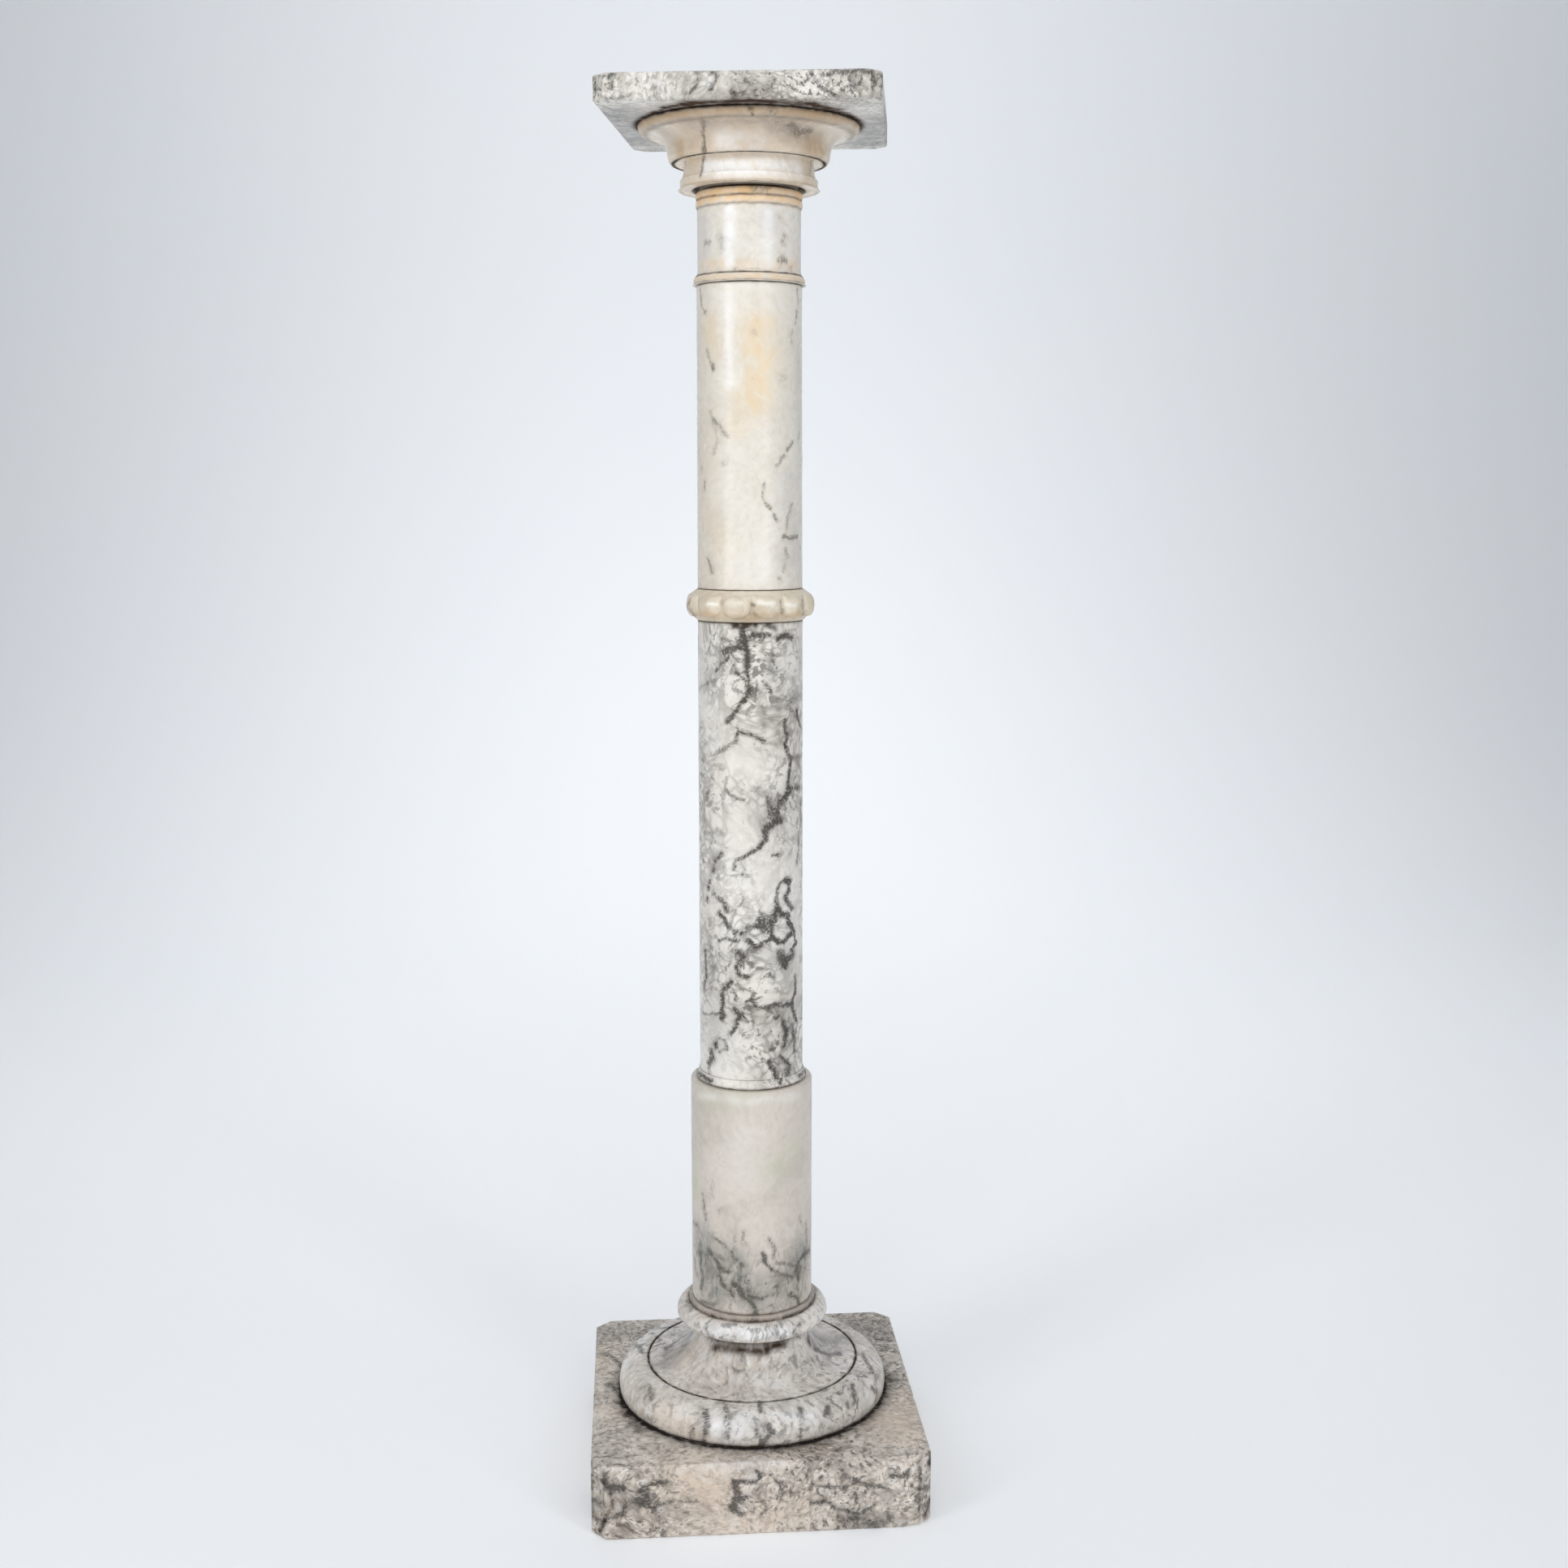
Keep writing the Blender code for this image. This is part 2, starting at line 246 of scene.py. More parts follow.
def fine_outline(name, points):
    """A close-set outline: smooth runs are curved and the corners between them are worn round."""
    legs = np.diff(points, axis=0)
    angles = np.arctan2(legs[:, 1], legs[:, 0])
    turns = np.abs((np.diff(angles) + math.pi) % math.tau - math.pi)
    corners = [0, *(np.flatnonzero(turns > CORNER_TURN) + 1), len(points) - 1]
    runs = [smooth_run(name, points[start:end + 1]) for start, end in zip(corners, corners[1:])]
    outline = runs[0]
    for run in runs[1:]:
        before = cut_end(outline, WORN[name] * MM)
        after = cut_end(run[::-1], WORN[name] * MM)[::-1]
        outline = np.vstack([before, worn_corner(before[-1], run[0], after[0]), after])
    return outline


# Meshes


def stone(name, plan, outline):
    """A closed mesh whose level rings are the plan, scaled to each radius of the outline."""
    rings = outline[1:-1]
    count = len(plan)
    flat = plan[None, :, :] * rings[:, None, :1]
    heights = np.repeat(rings[:, 1:], count, axis=1)[:, :, None]
    points = np.concatenate([flat, heights], axis=2).reshape(-1, 3)
    foot, top = len(points), len(points) + 1
    points = np.vstack([points, (0.0, 0.0, outline[0][1]), (0.0, 0.0, outline[-1][1])])
    here = np.arange(count)
    there = (here + 1) % count
    faces = []
    for ring in range(len(rings) - 1):
        low, high = ring * count, (ring + 1) * count
        faces += np.column_stack([low + here, low + there, high + there, high + here]).tolist()
    faces += [(foot, b, a) for a, b in zip(here.tolist(), there.tolist())]
    last = (len(rings) - 1) * count
    faces += [(top, last + a, last + b) for a, b in zip(here.tolist(), there.tolist())]
    mesh = bpy.data.meshes.new(name)
    mesh.from_pydata(points.tolist(), [], faces)
    mesh.shade_smooth()
    piece = bpy.data.objects.new(name, mesh)
    bpy.context.scene.collection.objects.link(piece)
    return piece


def get_points(mesh):
    """The places of a mesh's vertices."""
    points = np.empty(len(mesh.vertices) * 3)
    mesh.vertices.foreach_get("co", points)
    return points.reshape(-1, 3)


def get_normals(mesh):
    """The directions in which a mesh's vertices face."""
    normals = np.empty(len(mesh.vertices) * 3)
    mesh.vertex_normals.foreach_get("vector", normals)
    return normals.reshape(-1, 3)


def get_skin(mesh):
    """A mesh's surface, for sight lines to meet."""
    return BVHTree.FromPolygons(get_points(mesh).tolist(), [tuple(face.vertices) for face in mesh.polygons])


def set_points(mesh, points):
    """Moves a mesh's vertices to these places."""
    mesh.vertices.foreach_set("co", points.ravel())
    mesh.update()


def weather(piece):
    """Wears a stone's surface inwards, in soft lumps."""
    mesh = piece.data
    points = get_points(mesh)
    lumps = np.array([noise.noise(Vector(point) * WEATHER_LUMPS) for point in points.tolist()])
    worn = np.clip(0.5 + 0.5 * lumps, 0.0, 1.0)[:, None]
    set_points(mesh, points - get_normals(mesh) * WEATHER_DEPTH * worn)


def hollow_seat(piece, foot):
    """Cuts the shadow gap into the capital's underside, round the seat of the neck."""
    points = get_points(piece.data)
    radius = np.hypot(points[:, 0], points[:, 1])
    cut = (radius > SEAT_GAP_INSIDE) & (radius < SEAT_GAP_OUTSIDE) & (points[:, 2] < foot + MM)
    points[cut, 2] += SEAT_GAP_DEPTH
    set_points(piece.data, points)


def carve_lobes(piece, foot):
    """Raises the tongues round the collar's body."""
    points = get_points(piece.data)
    radius = np.hypot(points[:, 0], points[:, 1])
    down = (LOBE_TOP - (points[:, 2] - foot)) / (LOBE_TOP - LOBE_TIP)
    angle = np.arctan2(points[:, 1], points[:, 0]) - math.radians(LOBE_TURN)
    across = 2 * np.abs((angle * LOBES / math.tau) % 1.0 - 0.5)
    inside = (down > 0) & (down < 1) & (radius > LOBE_RELIEF)
    down = np.clip(down, 0.0, 1.0)
    past_straight = np.clip(down - LOBE_STRAIGHT_PART, 0, None) / (1 - LOBE_STRAIGHT_PART)
    half_width = np.sqrt(1 - past_straight ** 2) + SAME_PLACE
    crown = np.sqrt(np.clip(1 - (across / half_width) ** 2, 0, None))
    swell = np.sqrt(np.clip(1 - (2 * down - 1) ** 2, 0, None))
    relief = np.where(inside, LOBE_RELIEF * crown * swell, 0.0)
    points[:, :2] *= (1 + relief / np.maximum(radius, LOBE_RELIEF))[:, None]
    set_points(piece.data, points)


# Places read from the photograph


def sight_line(pixel):
    """The direction from the camera through a pixel of the photograph."""
    middle = PHOTO_PIXELS / 2
    ray = Vector(((pixel[0] - middle) / FOCAL_PIXELS, (middle - pixel[1]) / FOCAL_PIXELS, -1.0))
    ray.rotate(CAMERA_ANGLES)
    return ray.normalized()


def on_stone(skin, pixels):
    """Close-set points on a stone's surface, along a line of pixels of the photograph."""
    line = [np.array(pixels[0], float)]
    for start, end in zip(pixels, pixels[1:]):
        start, end = np.array(start, float), np.array(end, float)
        count = math.ceil(np.linalg.norm(end - start) / STROKE_PIXELS)
        line += [start + (end - start) * part / count for part in range(1, count + 1)]
    hits = [skin.ray_cast(CAMERA_PLACE, sight_line(pixel))[0] for pixel in line]
    return np.array([tuple(hit) for hit in hits if hit is not None])


def all_round(targets, turns, low, high):
    """The targets, and those between two heights again at each turn."""
    copies = [targets]
    beside = targets[(targets[:, 2] > low) & (targets[:, 2] < high)]
    for turn in turns:
        cosine, sine = math.cos(math.radians(turn)), math.sin(math.radians(turn))
        copies.append(beside @ np.array([(cosine, sine, 0.0), (-sine, cosine, 0.0), (0.0, 0.0, 1.0)]))
    return np.vstack(copies)


def nearest(points, targets):
    """The distance from each point to the nearest target."""
    squares = (points ** 2).sum(1)[:, None] + (targets ** 2).sum(1)[None, :] - 2 * points @ targets.T
    return np.sqrt(np.clip(squares.min(axis=1), 0, None))


def wander(points):
    """How far each point is moved about, so that what is painted gets a natural edge."""
    moves = []
    for point in points.tolist():
        place = Vector(point)
        broad = noise.noise_vector(place * WANDER_LUMPS) * WANDER_REACH
        small = noise.noise_vector(place * SMALL_WANDER_LUMPS) * SMALL_WANDER_REACH
        moves.append(tuple(broad + small))
    return np.array(moves)


def touch(away, width, strength):
    """How much is left clean at each distance from something painted, its width in mm."""
    return 1 - strength * np.exp(-(away / (width * MM)) ** 2)


def paint(piece, name):
    """Gives a stone its painted amount of each layer, from 0 to 1."""
    mesh = piece.data
    points = get_points(mesh)
    skin = get_skin(mesh)
    moves = wander(points)
    wavy = points + moves
    steady = points + moves * RING_WANDER
    radii, heights = np.hypot(steady[:, 0], steady[:, 1]), steady[:, 2]
    turns, margin = (BLOCK_TURNS, EDGE_MARGIN) if name in BLOCKS else (ROUND_TURNS, -EDGE_MARGIN)
    low, high = points[:, 2].min() + margin, points[:, 2].max() - margin
    for layer in LAYERS:
        clean = np.ones(len(points))
        for width, strength, *pixels in MARKS.get((name, layer), {}).values():
            targets = on_stone(skin, pixels)
            if len(targets):
                clean *= touch(nearest(wavy, all_round(targets, turns, low, high)), width, strength)
        for radius, height, width, strength in RINGS.get((name, layer), {}).values():
            clean *= touch(np.hypot(radii - radius * MM, heights - height * MM), width, strength)
        mesh.attributes.new(layer, "FLOAT", "POINT").data.foreach_set("value", 1 - clean)


def chip(piece, name):
    """Breaks small pieces out of a stone."""
    mesh = piece.data
    points = get_points(mesh)
    normals = get_normals(mesh)
    skin = get_skin(mesh)
    for width, depth, pixel in CHIPS.get(name, {}).values():
        centre = on_stone(skin, [pixel])
        if len(centre):
            away = nearest(points + wander(points), centre) / (width * MM)
            points = points - normals * (depth * MM * np.exp(-away ** 4))[:, None]
    set_points(mesh, points)


# Marble


class Graph:
    """The node graph of one material."""

    def __init__(self, name):
        self.material = bpy.data.materials.new(name)
        self.material.use_nodes = True
        self.nodes = self.material.node_tree.nodes
        self.links = self.material.node_tree.links
        self.shader = self.nodes["Principled BSDF"]
        self.start = self.nodes.new("ShaderNodeTexCoord").outputs["Object"]

    def plug(self, socket, value):
        """Sets an input, or links it when the value is another node's output."""
        if isinstance(value, bpy.types.NodeSocket):
            self.links.new(value, socket)
        elif isinstance(value, tuple) and len(value) == 3 and socket.type == "RGBA":
            socket.default_value = (*value, 1.0)
        else:
            socket.default_value = value

    def calc(self, operation, first, second, clamp=False):
        """One sum of two numbers."""
        node = self.nodes.new("ShaderNodeMath")
        node.operation = operation
        node.use_clamp = clamp
        self.plug(node.inputs[0], first)
        self.plug(node.inputs[1], second)
        return node.outputs[0]

    def move(self, operation, first, second):
        """One sum of two vectors, or of a vector and its scale."""
        node = self.nodes.new("ShaderNodeVectorMath")
        node.operation = operation
        self.plug(node.inputs[0], first)
        self.plug(node.inputs["Scale" if operation == "SCALE" else 1], second)
        return node.outputs["Value" if operation == "DISTANCE" else "Vector"]

    def noise(self, place, lumps, detail, roughness=0.5, output="Fac"):
        """Cloudy noise about 0.5, with this many lumps to a metre."""
        node = self.nodes.new("ShaderNodeTexNoise")
        self.plug(node.inputs["Vector"], place)
        node.inputs["Scale"].default_value = lumps
        node.inputs["Detail"].default_value = detail
        node.inputs["Roughness"].default_value = roughness
        return node.outputs[output]

    def swirl(self, place, lumps, detail, reach):
        """The places moved about by up to half a reach in metres."""
        bend = self.move("SUBTRACT", self.noise(place, lumps, detail, output="Color"), (0.5, 0.5, 0.5))
        return self.move("ADD", place, self.move("SCALE", bend, reach))

    def cracks(self, place, scale):
        """The distance to the nearest crack between grains of about 1 / scale metres."""
        node = self.nodes.new("ShaderNodeTexVoronoi")
        node.feature = "DISTANCE_TO_EDGE"
        self.plug(node.inputs["Vector"], place)
        node.inputs["Scale"].default_value = scale
        return node.outputs["Distance"]

    def band(self, value, low, high, first=0.0, last=1.0):
        """Eases from first to last while the value goes from low to high."""
        node = self.nodes.new("ShaderNodeMapRange")
        node.interpolation_type = "SMOOTHSTEP"
        amounts = {"Value": value, "From Min": low, "From Max": high, "To Min": first, "To Max": last}
        for name, amount in amounts.items():
            self.plug(node.inputs[name], amount)
        return node.outputs["Result"]

    def pattern(self, name, place, first=0.0, last=1.0):
        """One of the named patterns, easing from first to last."""
        lumps, detail, roughness, low, high = PATTERNS[name]
        return self.band(self.noise(place, lumps, detail, roughness), low, high, first, last)

    def mix(self, amount, first, second):
        """The first colour going over to the second."""
        node = self.nodes.new("ShaderNodeMix")
        node.data_type = "RGBA"
        self.plug(node.inputs["Factor"], amount)
        self.plug(node.inputs[6], first)
        self.plug(node.inputs[7], second)
        return node.outputs[2]

    def painted(self, layer):
        """An amount painted on the stone."""
        node = self.nodes.new("ShaderNodeAttribute")
        node.attribute_name = layer
        return node.outputs["Fac"]

    def either(self, first, second):
        """How much of either of two amounts there is."""
        not_first = self.calc("SUBTRACT", 1.0, first)
        neither = self.calc("MULTIPLY", not_first, self.calc("SUBTRACT", 1.0, second))
        return self.calc("SUBTRACT", 1.0, neither, clamp=True)

    def bump(self, relief):
        """Lets the light show a fine relief."""
        node = self.nodes.new("ShaderNodeBump")
        node.inputs["Strength"].default_value = BUMP_STRENGTH
        node.inputs["Distance"].default_value = BUMP_HEIGHT
        self.plug(node.inputs["Height"], relief)
        self.plug(self.shader.inputs["Normal"], node.outputs["Normal"])


# Patterns: lumps to a metre, detail, roughness, and the stretch of the noise that they ease over
PATTERNS = {
    "ground": (11, 4, 0.5, 0.38, 0.66),
    "smoke": (26, 5, 0.5, 0.46, 0.76),
    "patchy paint": (90, 6, 0.65, 0.32, 0.66),
    "zones of the web": (9, 2, 0.5, 0.42, 0.58),
    "width of lines": (30, 3, 0.5, 0.35, 0.65),
    "breaks in lines": (44, 4, 0.5, 0.40, 0.60),
    "breaks in halos": (20, 4, 0.5, 0.42, 0.62),
    "breaks in cracks": (60, 3, 0.5, 0.42, 0.58),
    "ragged strokes": (480, 4, 0.7, 0.30, 0.70),
    "patches by strokes": (150, 5, 0.65, 0.40, 0.64),
    "tint": (30, 2, 0.5, 0.40, 0.60),
    "dirt_and_shade": (130, 4, 0.5, 0.20, 0.70),
    "gloss": (60, 4, 0.5, 0.30, 0.70),
    "paper": (1.5, 2, 0.5, 0.30, 0.70),
}

# Bends of the whole pattern, then of its grains: lumps, detail and reach
DRIFT = (12, 3, 0.05)
BENDS_PER_GRAIN = 1.3
CRINKLE_DETAIL = 4
CRINKLE_REACH = 0.75
CURL_DETAIL = 2

# Mottling: lumps, detail and roughness, and the noise at which it is plain, darkest and lightest
MOTTLE = (190, 4, 0.6)
MOTTLE_PLAIN = 0.50
MOTTLE_DARK = 0.66
MOTTLE_LIGHT = 0.34

# Web: lines and halos at the outlines of grains, finer cracks, and blots
STAIN_AND_SHADE_COVER = 0.9
LINE_WIDTHS = (0.03, 0.24)
HALO_WIDTH = 0.5
HALO_STRENGTH = 0.45
CRACKS_PER_GRAIN = 2.2
CRACK_WIDTH = 0.24
BLOTS_PER_GRAIN = 2.6
BLOT_DETAIL = 3
BLOT_ROUGHNESS = 0.6
BLOT_STRETCH = (0.53, 0.63)

# Painted layers: how uneven each is, and how a stroke's painted amount turns into a vein
PATCHY_RANGE = (0.45, 1.30)
RAGGED_RANGE = (0.35, 1.55)
STROKE_STRETCH = (0.04, 0.72)
PATCH_STRENGTH = 0.55
FUZZ_POWER = 0.45
TINT_SHARE = 0.4
DIRT_AND_SHADE_RANGE = (0.75, 1.35)

# Surface: how much glossier and rougher it gets, and its fine relief
GLOSSIER = 0.05
ROUGHER = 0.10
DIRT_AND_SHADE_ROUGHNESS = 0.65
MARBLE_IOR = 1.5
BUMP_STRENGTH = 0.15
BUMP_HEIGHT = 0.4 * MM
MOTTLE_RELIEF = 0.6
VEIN_RELIEF = 0.5

# Looks of the stones. Colours: light, middle and shaded ground; dusk, for painted clouds and for
# painted shade along edges and under rims; stain, for stains and for the slab's painted shade
# underneath; pale, for pale patches and painted highlights; vein; and grime, for grime, dark joints
# and painted shade and shadows. Numbers: grains to a metre, then the strengths of the web, of its
# blots and cracks, of smoke and of mottling, how dark veins get, the share of the web that is left
# in calm zones, how far it follows the grains' outlines, how far its blots curl, roughness, how far
# the pattern is flattened, and where in the noise it starts
QUIET = {"web": 0.12, "calm": 0.3, "cells": 0.5, "curl": 0.4, "flatten": 1.0}
LOOKS = {
    "top_slab": {
        "light": rgb(240, 235, 226), "middle": rgb(218, 211, 199), "shade": rgb(164, 157, 146),
        # The slab's stain is the grey of its painted shade underneath
        "dusk": rgb(172, 170, 176), "stain_and_shade": rgb(138, 135, 132), "pale": rgb(250, 248, 244),
        "vein": rgb(58, 54, 48), "grime_and_shade": rgb(60, 36, 14),
        "grain": 100, "web": 0.6, "fine": 0.85, "smoke": 0.5, "mottle": 0.5, "depth": 0.92,
        "calm": 0.5, "cells": 0.6, "curl": 0.22, "rough": 0.36, "flatten": 1.0, "shift": 3.1,
    },
    "capital": {
        **QUIET,
        "light": rgb(243, 229, 208), "middle": rgb(226, 206, 181), "shade": rgb(196, 179, 160),
        "dusk": rgb(176, 164, 152), "stain_and_shade": rgb(206, 176, 140), "pale": rgb(254, 252, 248),
        # The capital's grime is near black, for the painted shade in the seat gap
        "vein": rgb(112, 98, 82), "grime_and_shade": rgb(26, 16, 9),
        "grain": 34, "fine": 0.1, "smoke": 0.5, "mottle": 0.14, "depth": 0.75, "rough": 0.27, "shift": 7.7,
    },
    "neck": {
        **QUIET,
        "light": rgb(244, 240, 232), "middle": rgb(236, 229, 217), "shade": rgb(206, 203, 190),
        "dusk": rgb(214, 206, 210), "stain_and_shade": rgb(244, 204, 150), "pale": rgb(252, 251, 250),
        "vein": rgb(112, 104, 92), "grime_and_shade": rgb(74, 52, 34),
        "grain": 38, "fine": 0.12, "smoke": 0.5, "mottle": 0.3, "depth": 0.75, "rough": 0.34, "shift": 12.3,
    },
    "upper_shaft": {
        **QUIET,
        "light": rgb(242, 235, 223), "middle": rgb(234, 224, 208), "shade": rgb(212, 204, 189),
        "dusk": rgb(206, 204, 200), "stain_and_shade": rgb(241, 217, 178), "pale": rgb(252, 250, 247),
        "vein": rgb(120, 112, 100), "grime_and_shade": rgb(96, 76, 54),
        "grain": 32, "fine": 0.1, "smoke": 0.45, "mottle": 0.25, "depth": 0.8, "rough": 0.29, "shift": 21.9,
    },
    "carved_collar": {
        **QUIET,
        "light": rgb(236, 225, 206), "middle": rgb(224, 208, 183), "shade": rgb(200, 182, 154),
        "dusk": rgb(190, 176, 156), "stain_and_shade": rgb(206, 180, 146), "pale": rgb(250, 245, 234),
        "vein": rgb(120, 100, 76), "grime_and_shade": rgb(104, 84, 60),
        "grain": 60, "fine": 0.2, "smoke": 0.5, "mottle": 0.3, "depth": 0.7, "rough": 0.34, "shift": 5.5,
    },
    "lower_shaft": {
        "light": rgb(245, 241, 233), "middle": rgb(235, 228, 218), "shade": rgb(200, 194, 184),
        "dusk": rgb(152, 146, 138), "stain_and_shade": rgb(226, 210, 192), "pale": rgb(246, 240, 230),
        "vein": rgb(54, 49, 42), "grime_and_shade": rgb(58, 45, 32),
        "grain": 56, "web": 0.6, "fine": 0.85, "smoke": 0.45, "mottle": 0.32, "depth": 0.95,
        "calm": 0.15, "cells": 0.7, "curl": 0.4, "rough": 0.32, "flatten": 1.0, "shift": 1.7,
    },
    "lower_drum": {
        "light": rgb(224, 214, 203), "middle": rgb(209, 199, 186), "shade": rgb(184, 176, 163),
        "dusk": rgb(150, 149, 142), "stain_and_shade": rgb(208, 206, 184), "pale": rgb(236, 232, 224),
        "vein": rgb(64, 60, 52), "grime_and_shade": rgb(76, 60, 44),
        "grain": 66, "web": 0.1, "fine": 0.7, "smoke": 0.55, "mottle": 0.18, "depth": 0.88,
        "calm": 0.3, "cells": 0.5, "curl": 0.4, "rough": 0.36, "flatten": 0.8, "shift": 9.2,
    },
    "base_moulding": {
        "light": rgb(242, 236, 228), "middle": rgb(226, 216, 205), "shade": rgb(186, 178, 169),
        "dusk": rgb(142, 140, 138), "stain_and_shade": rgb(230, 212, 192), "pale": rgb(246, 245, 243),
        "vein": rgb(62, 58, 54), "grime_and_shade": rgb(58, 42, 28),
        "grain": 60, "web": 0.6, "fine": 0.8, "smoke": 0.6, "mottle": 0.62, "depth": 0.85,
        "calm": 0.45, "cells": 0.35, "curl": 0.2, "rough": 0.34, "flatten": 0.8, "shift": 15.4,
    },
    "plinth": {
        "light": rgb(230, 219, 206), "middle": rgb(209, 196, 182), "shade": rgb(154, 144, 132),
        "dusk": rgb(122, 116, 110), "stain_and_shade": rgb(220, 200, 180), "pale": rgb(238, 233, 226),
        "vein": rgb(38, 31, 25), "grime_and_shade": rgb(28, 18, 12),
        "grain": 84, "web": 0.9, "fine": 0.9, "smoke": 0.35, "mottle": 0.75, "depth": 0.88,
        "calm": 0.6, "cells": 0.55, "curl": 0.2, "rough": 0.46, "flatten": 1.15, "shift": 31.0,
    },
}


def ground_colour(graph, look, place, crinkled, mottle):
    """The cloudy ground with its smoke and mottling, and the painted clouds, stains, pale patches, painted
    shade and painted highlights.
    """
    ground = graph.mix(graph.pattern("ground", place), look["light"], look["middle"])
    smoke = graph.calc("MULTIPLY", graph.pattern("smoke", crinkled), look["smoke"])
    ground = graph.mix(smoke, ground, look["shade"])
    dark = graph.band(mottle, MOTTLE_PLAIN, MOTTLE_DARK, 0.0, look["mottle"])
    light = graph.band(mottle, MOTTLE_PLAIN, MOTTLE_LIGHT, 0.0, look["mottle"])
    ground = graph.mix(light, graph.mix(dark, ground, look["shade"]), look["pale"])
    patchy = graph.pattern("patchy paint", crinkled, *PATCHY_RANGE)
    # Painted clouds and painted shade, stains and the slab's painted shade underneath, and pale patches and
    # painted highlights
    for layer, tone in (("cloud_and_shade", "dusk"), ("stain_and_shade", "stain_and_shade"), ("pale", "pale")):
        amount = graph.calc("MULTIPLY", graph.painted(layer), patchy, clamp=True)
        ground = graph.mix(amount, ground, look[tone])
    return ground


def web_zone(graph, look, start):
    """Where the web shows: in zones, less under pale patches, highlights, stains and painted shade, and
    where it is painted.
    """
    zone = graph.pattern("zones of the web", start, look["web"] * look["calm"], look["web"])
    cover = graph.either(graph.painted("pale"), graph.calc("MULTIPLY", graph.painted("stain_and_shade"), STAIN_AND_SHADE_COVER))
    zone = graph.calc("MULTIPLY", zone, graph.calc("SUBTRACT", 1.0, cover))
    return graph.either(graph.painted("web"), zone)


def web_of_veins(graph, look, place, crinkled, loose):
    """The broken web of veins: lines and halos at the outlines of grains, finer cracks, and blots."""
    cells = graph.cracks(crinkled, look["grain"])
    width = graph.pattern("width of lines", place, *LINE_WIDTHS)
    line = graph.band(cells, 0.0, width, 1.0, 0.0)
    line = graph.calc("MULTIPLY", line, graph.pattern("breaks in lines", place))
    halo = graph.band(cells, 0.0, HALO_WIDTH, HALO_STRENGTH, 0.0)
    halo = graph.calc("MULTIPLY", halo, graph.pattern("breaks in halos", place))
    cracks = graph.cracks(loose, look["grain"] * CRACKS_PER_GRAIN)
    cracks = graph.band(cracks, 0.0, CRACK_WIDTH, look["fine"], 0.0)
    cracks = graph.calc("MULTIPLY", cracks, graph.pattern("breaks in cracks", crinkled))
    outlines = graph.calc("MULTIPLY", graph.either(graph.either(line, halo), cracks), look["cells"])
    blots = graph.noise(loose, look["grain"] * BLOTS_PER_GRAIN, BLOT_DETAIL, BLOT_ROUGHNESS)
    return graph.either(outlines, graph.band(blots, *BLOT_STRETCH, 0.0, look["fine"]))


def painted_veins(graph, crinkled):
    """The painted veins: ragged strokes, with broken patches beside them."""
    drawn = graph.painted("vein")
    ragged = graph.pattern("ragged strokes", crinkled, *RAGGED_RANGE)
    stroke = graph.band(graph.calc("MULTIPLY", drawn, ragged), *STROKE_STRETCH)
    patches = graph.pattern("patches by strokes", crinkled, 0.0, PATCH_STRENGTH)
    fuzz = graph.calc("MULTIPLY", graph.calc("POWER", drawn, FUZZ_POWER), patches)
    return graph.either(stroke, fuzz)


def marble(name):
    """The marble of one stone: its ground, its veins, its dark joints, grimy patches and painted shade, and
    its gloss.
    """
    look = LOOKS[name]
    graph = Graph(name + "_marble")
    flat = graph.move("MULTIPLY", graph.start, (1.0, 1.0, look["flatten"]))
    start = graph.move("ADD", flat, (look["shift"], 0.0, 0.0))
    place = graph.swirl(start, *DRIFT)
    bends = look["grain"] * BENDS_PER_GRAIN
    crinkled = graph.swirl(place, bends, CRINKLE_DETAIL, CRINKLE_REACH / look["grain"])
    loose = graph.swirl(place, bends, CURL_DETAIL, look["curl"] / look["grain"])
    mottle = graph.noise(loose, *MOTTLE)

    ground = ground_colour(graph, look, place, crinkled, mottle)
    web = web_of_veins(graph, look, place, crinkled, loose)
    web = graph.calc("MULTIPLY", web, web_zone(graph, look, start))
    veins = graph.calc("MULTIPLY", graph.either(web, painted_veins(graph, crinkled)), look["depth"])
    tint = graph.mix(graph.pattern("tint", place, 0.0, TINT_SHARE), look["vein"], look["grime_and_shade"])
    # Grime and dark joints, and painted shade and shadows in gaps, under rims and round feet: the painted
    # amount, made patchy, darkens the colour and makes the surface rougher
    dirt_and_shade = graph.pattern("dirt_and_shade", crinkled, *DIRT_AND_SHADE_RANGE)
    dirt_and_shade = graph.calc("MULTIPLY", graph.painted("grime_and_shade"), dirt_and_shade, clamp=True)
    colour = graph.mix(dirt_and_shade, graph.mix(veins, ground, tint), look["grime_and_shade"])
    graph.plug(graph.shader.inputs["Base Color"], colour)

    gloss = graph.pattern("gloss", place, look["rough"] - GLOSSIER, look["rough"] + ROUGHER)
    gloss = graph.calc("ADD", gloss, graph.calc("MULTIPLY", dirt_and_shade, DIRT_AND_SHADE_ROUGHNESS), clamp=True)
    graph.plug(graph.shader.inputs["Roughness"], gloss)
    graph.shader.inputs["IOR"].default_value = MARBLE_IOR
    lumps = graph.calc("MULTIPLY", mottle, MOTTLE_RELIEF)
    graph.bump(graph.calc("SUBTRACT", lumps, graph.calc("MULTIPLY", veins, VEIN_RELIEF)))
    return graph.material


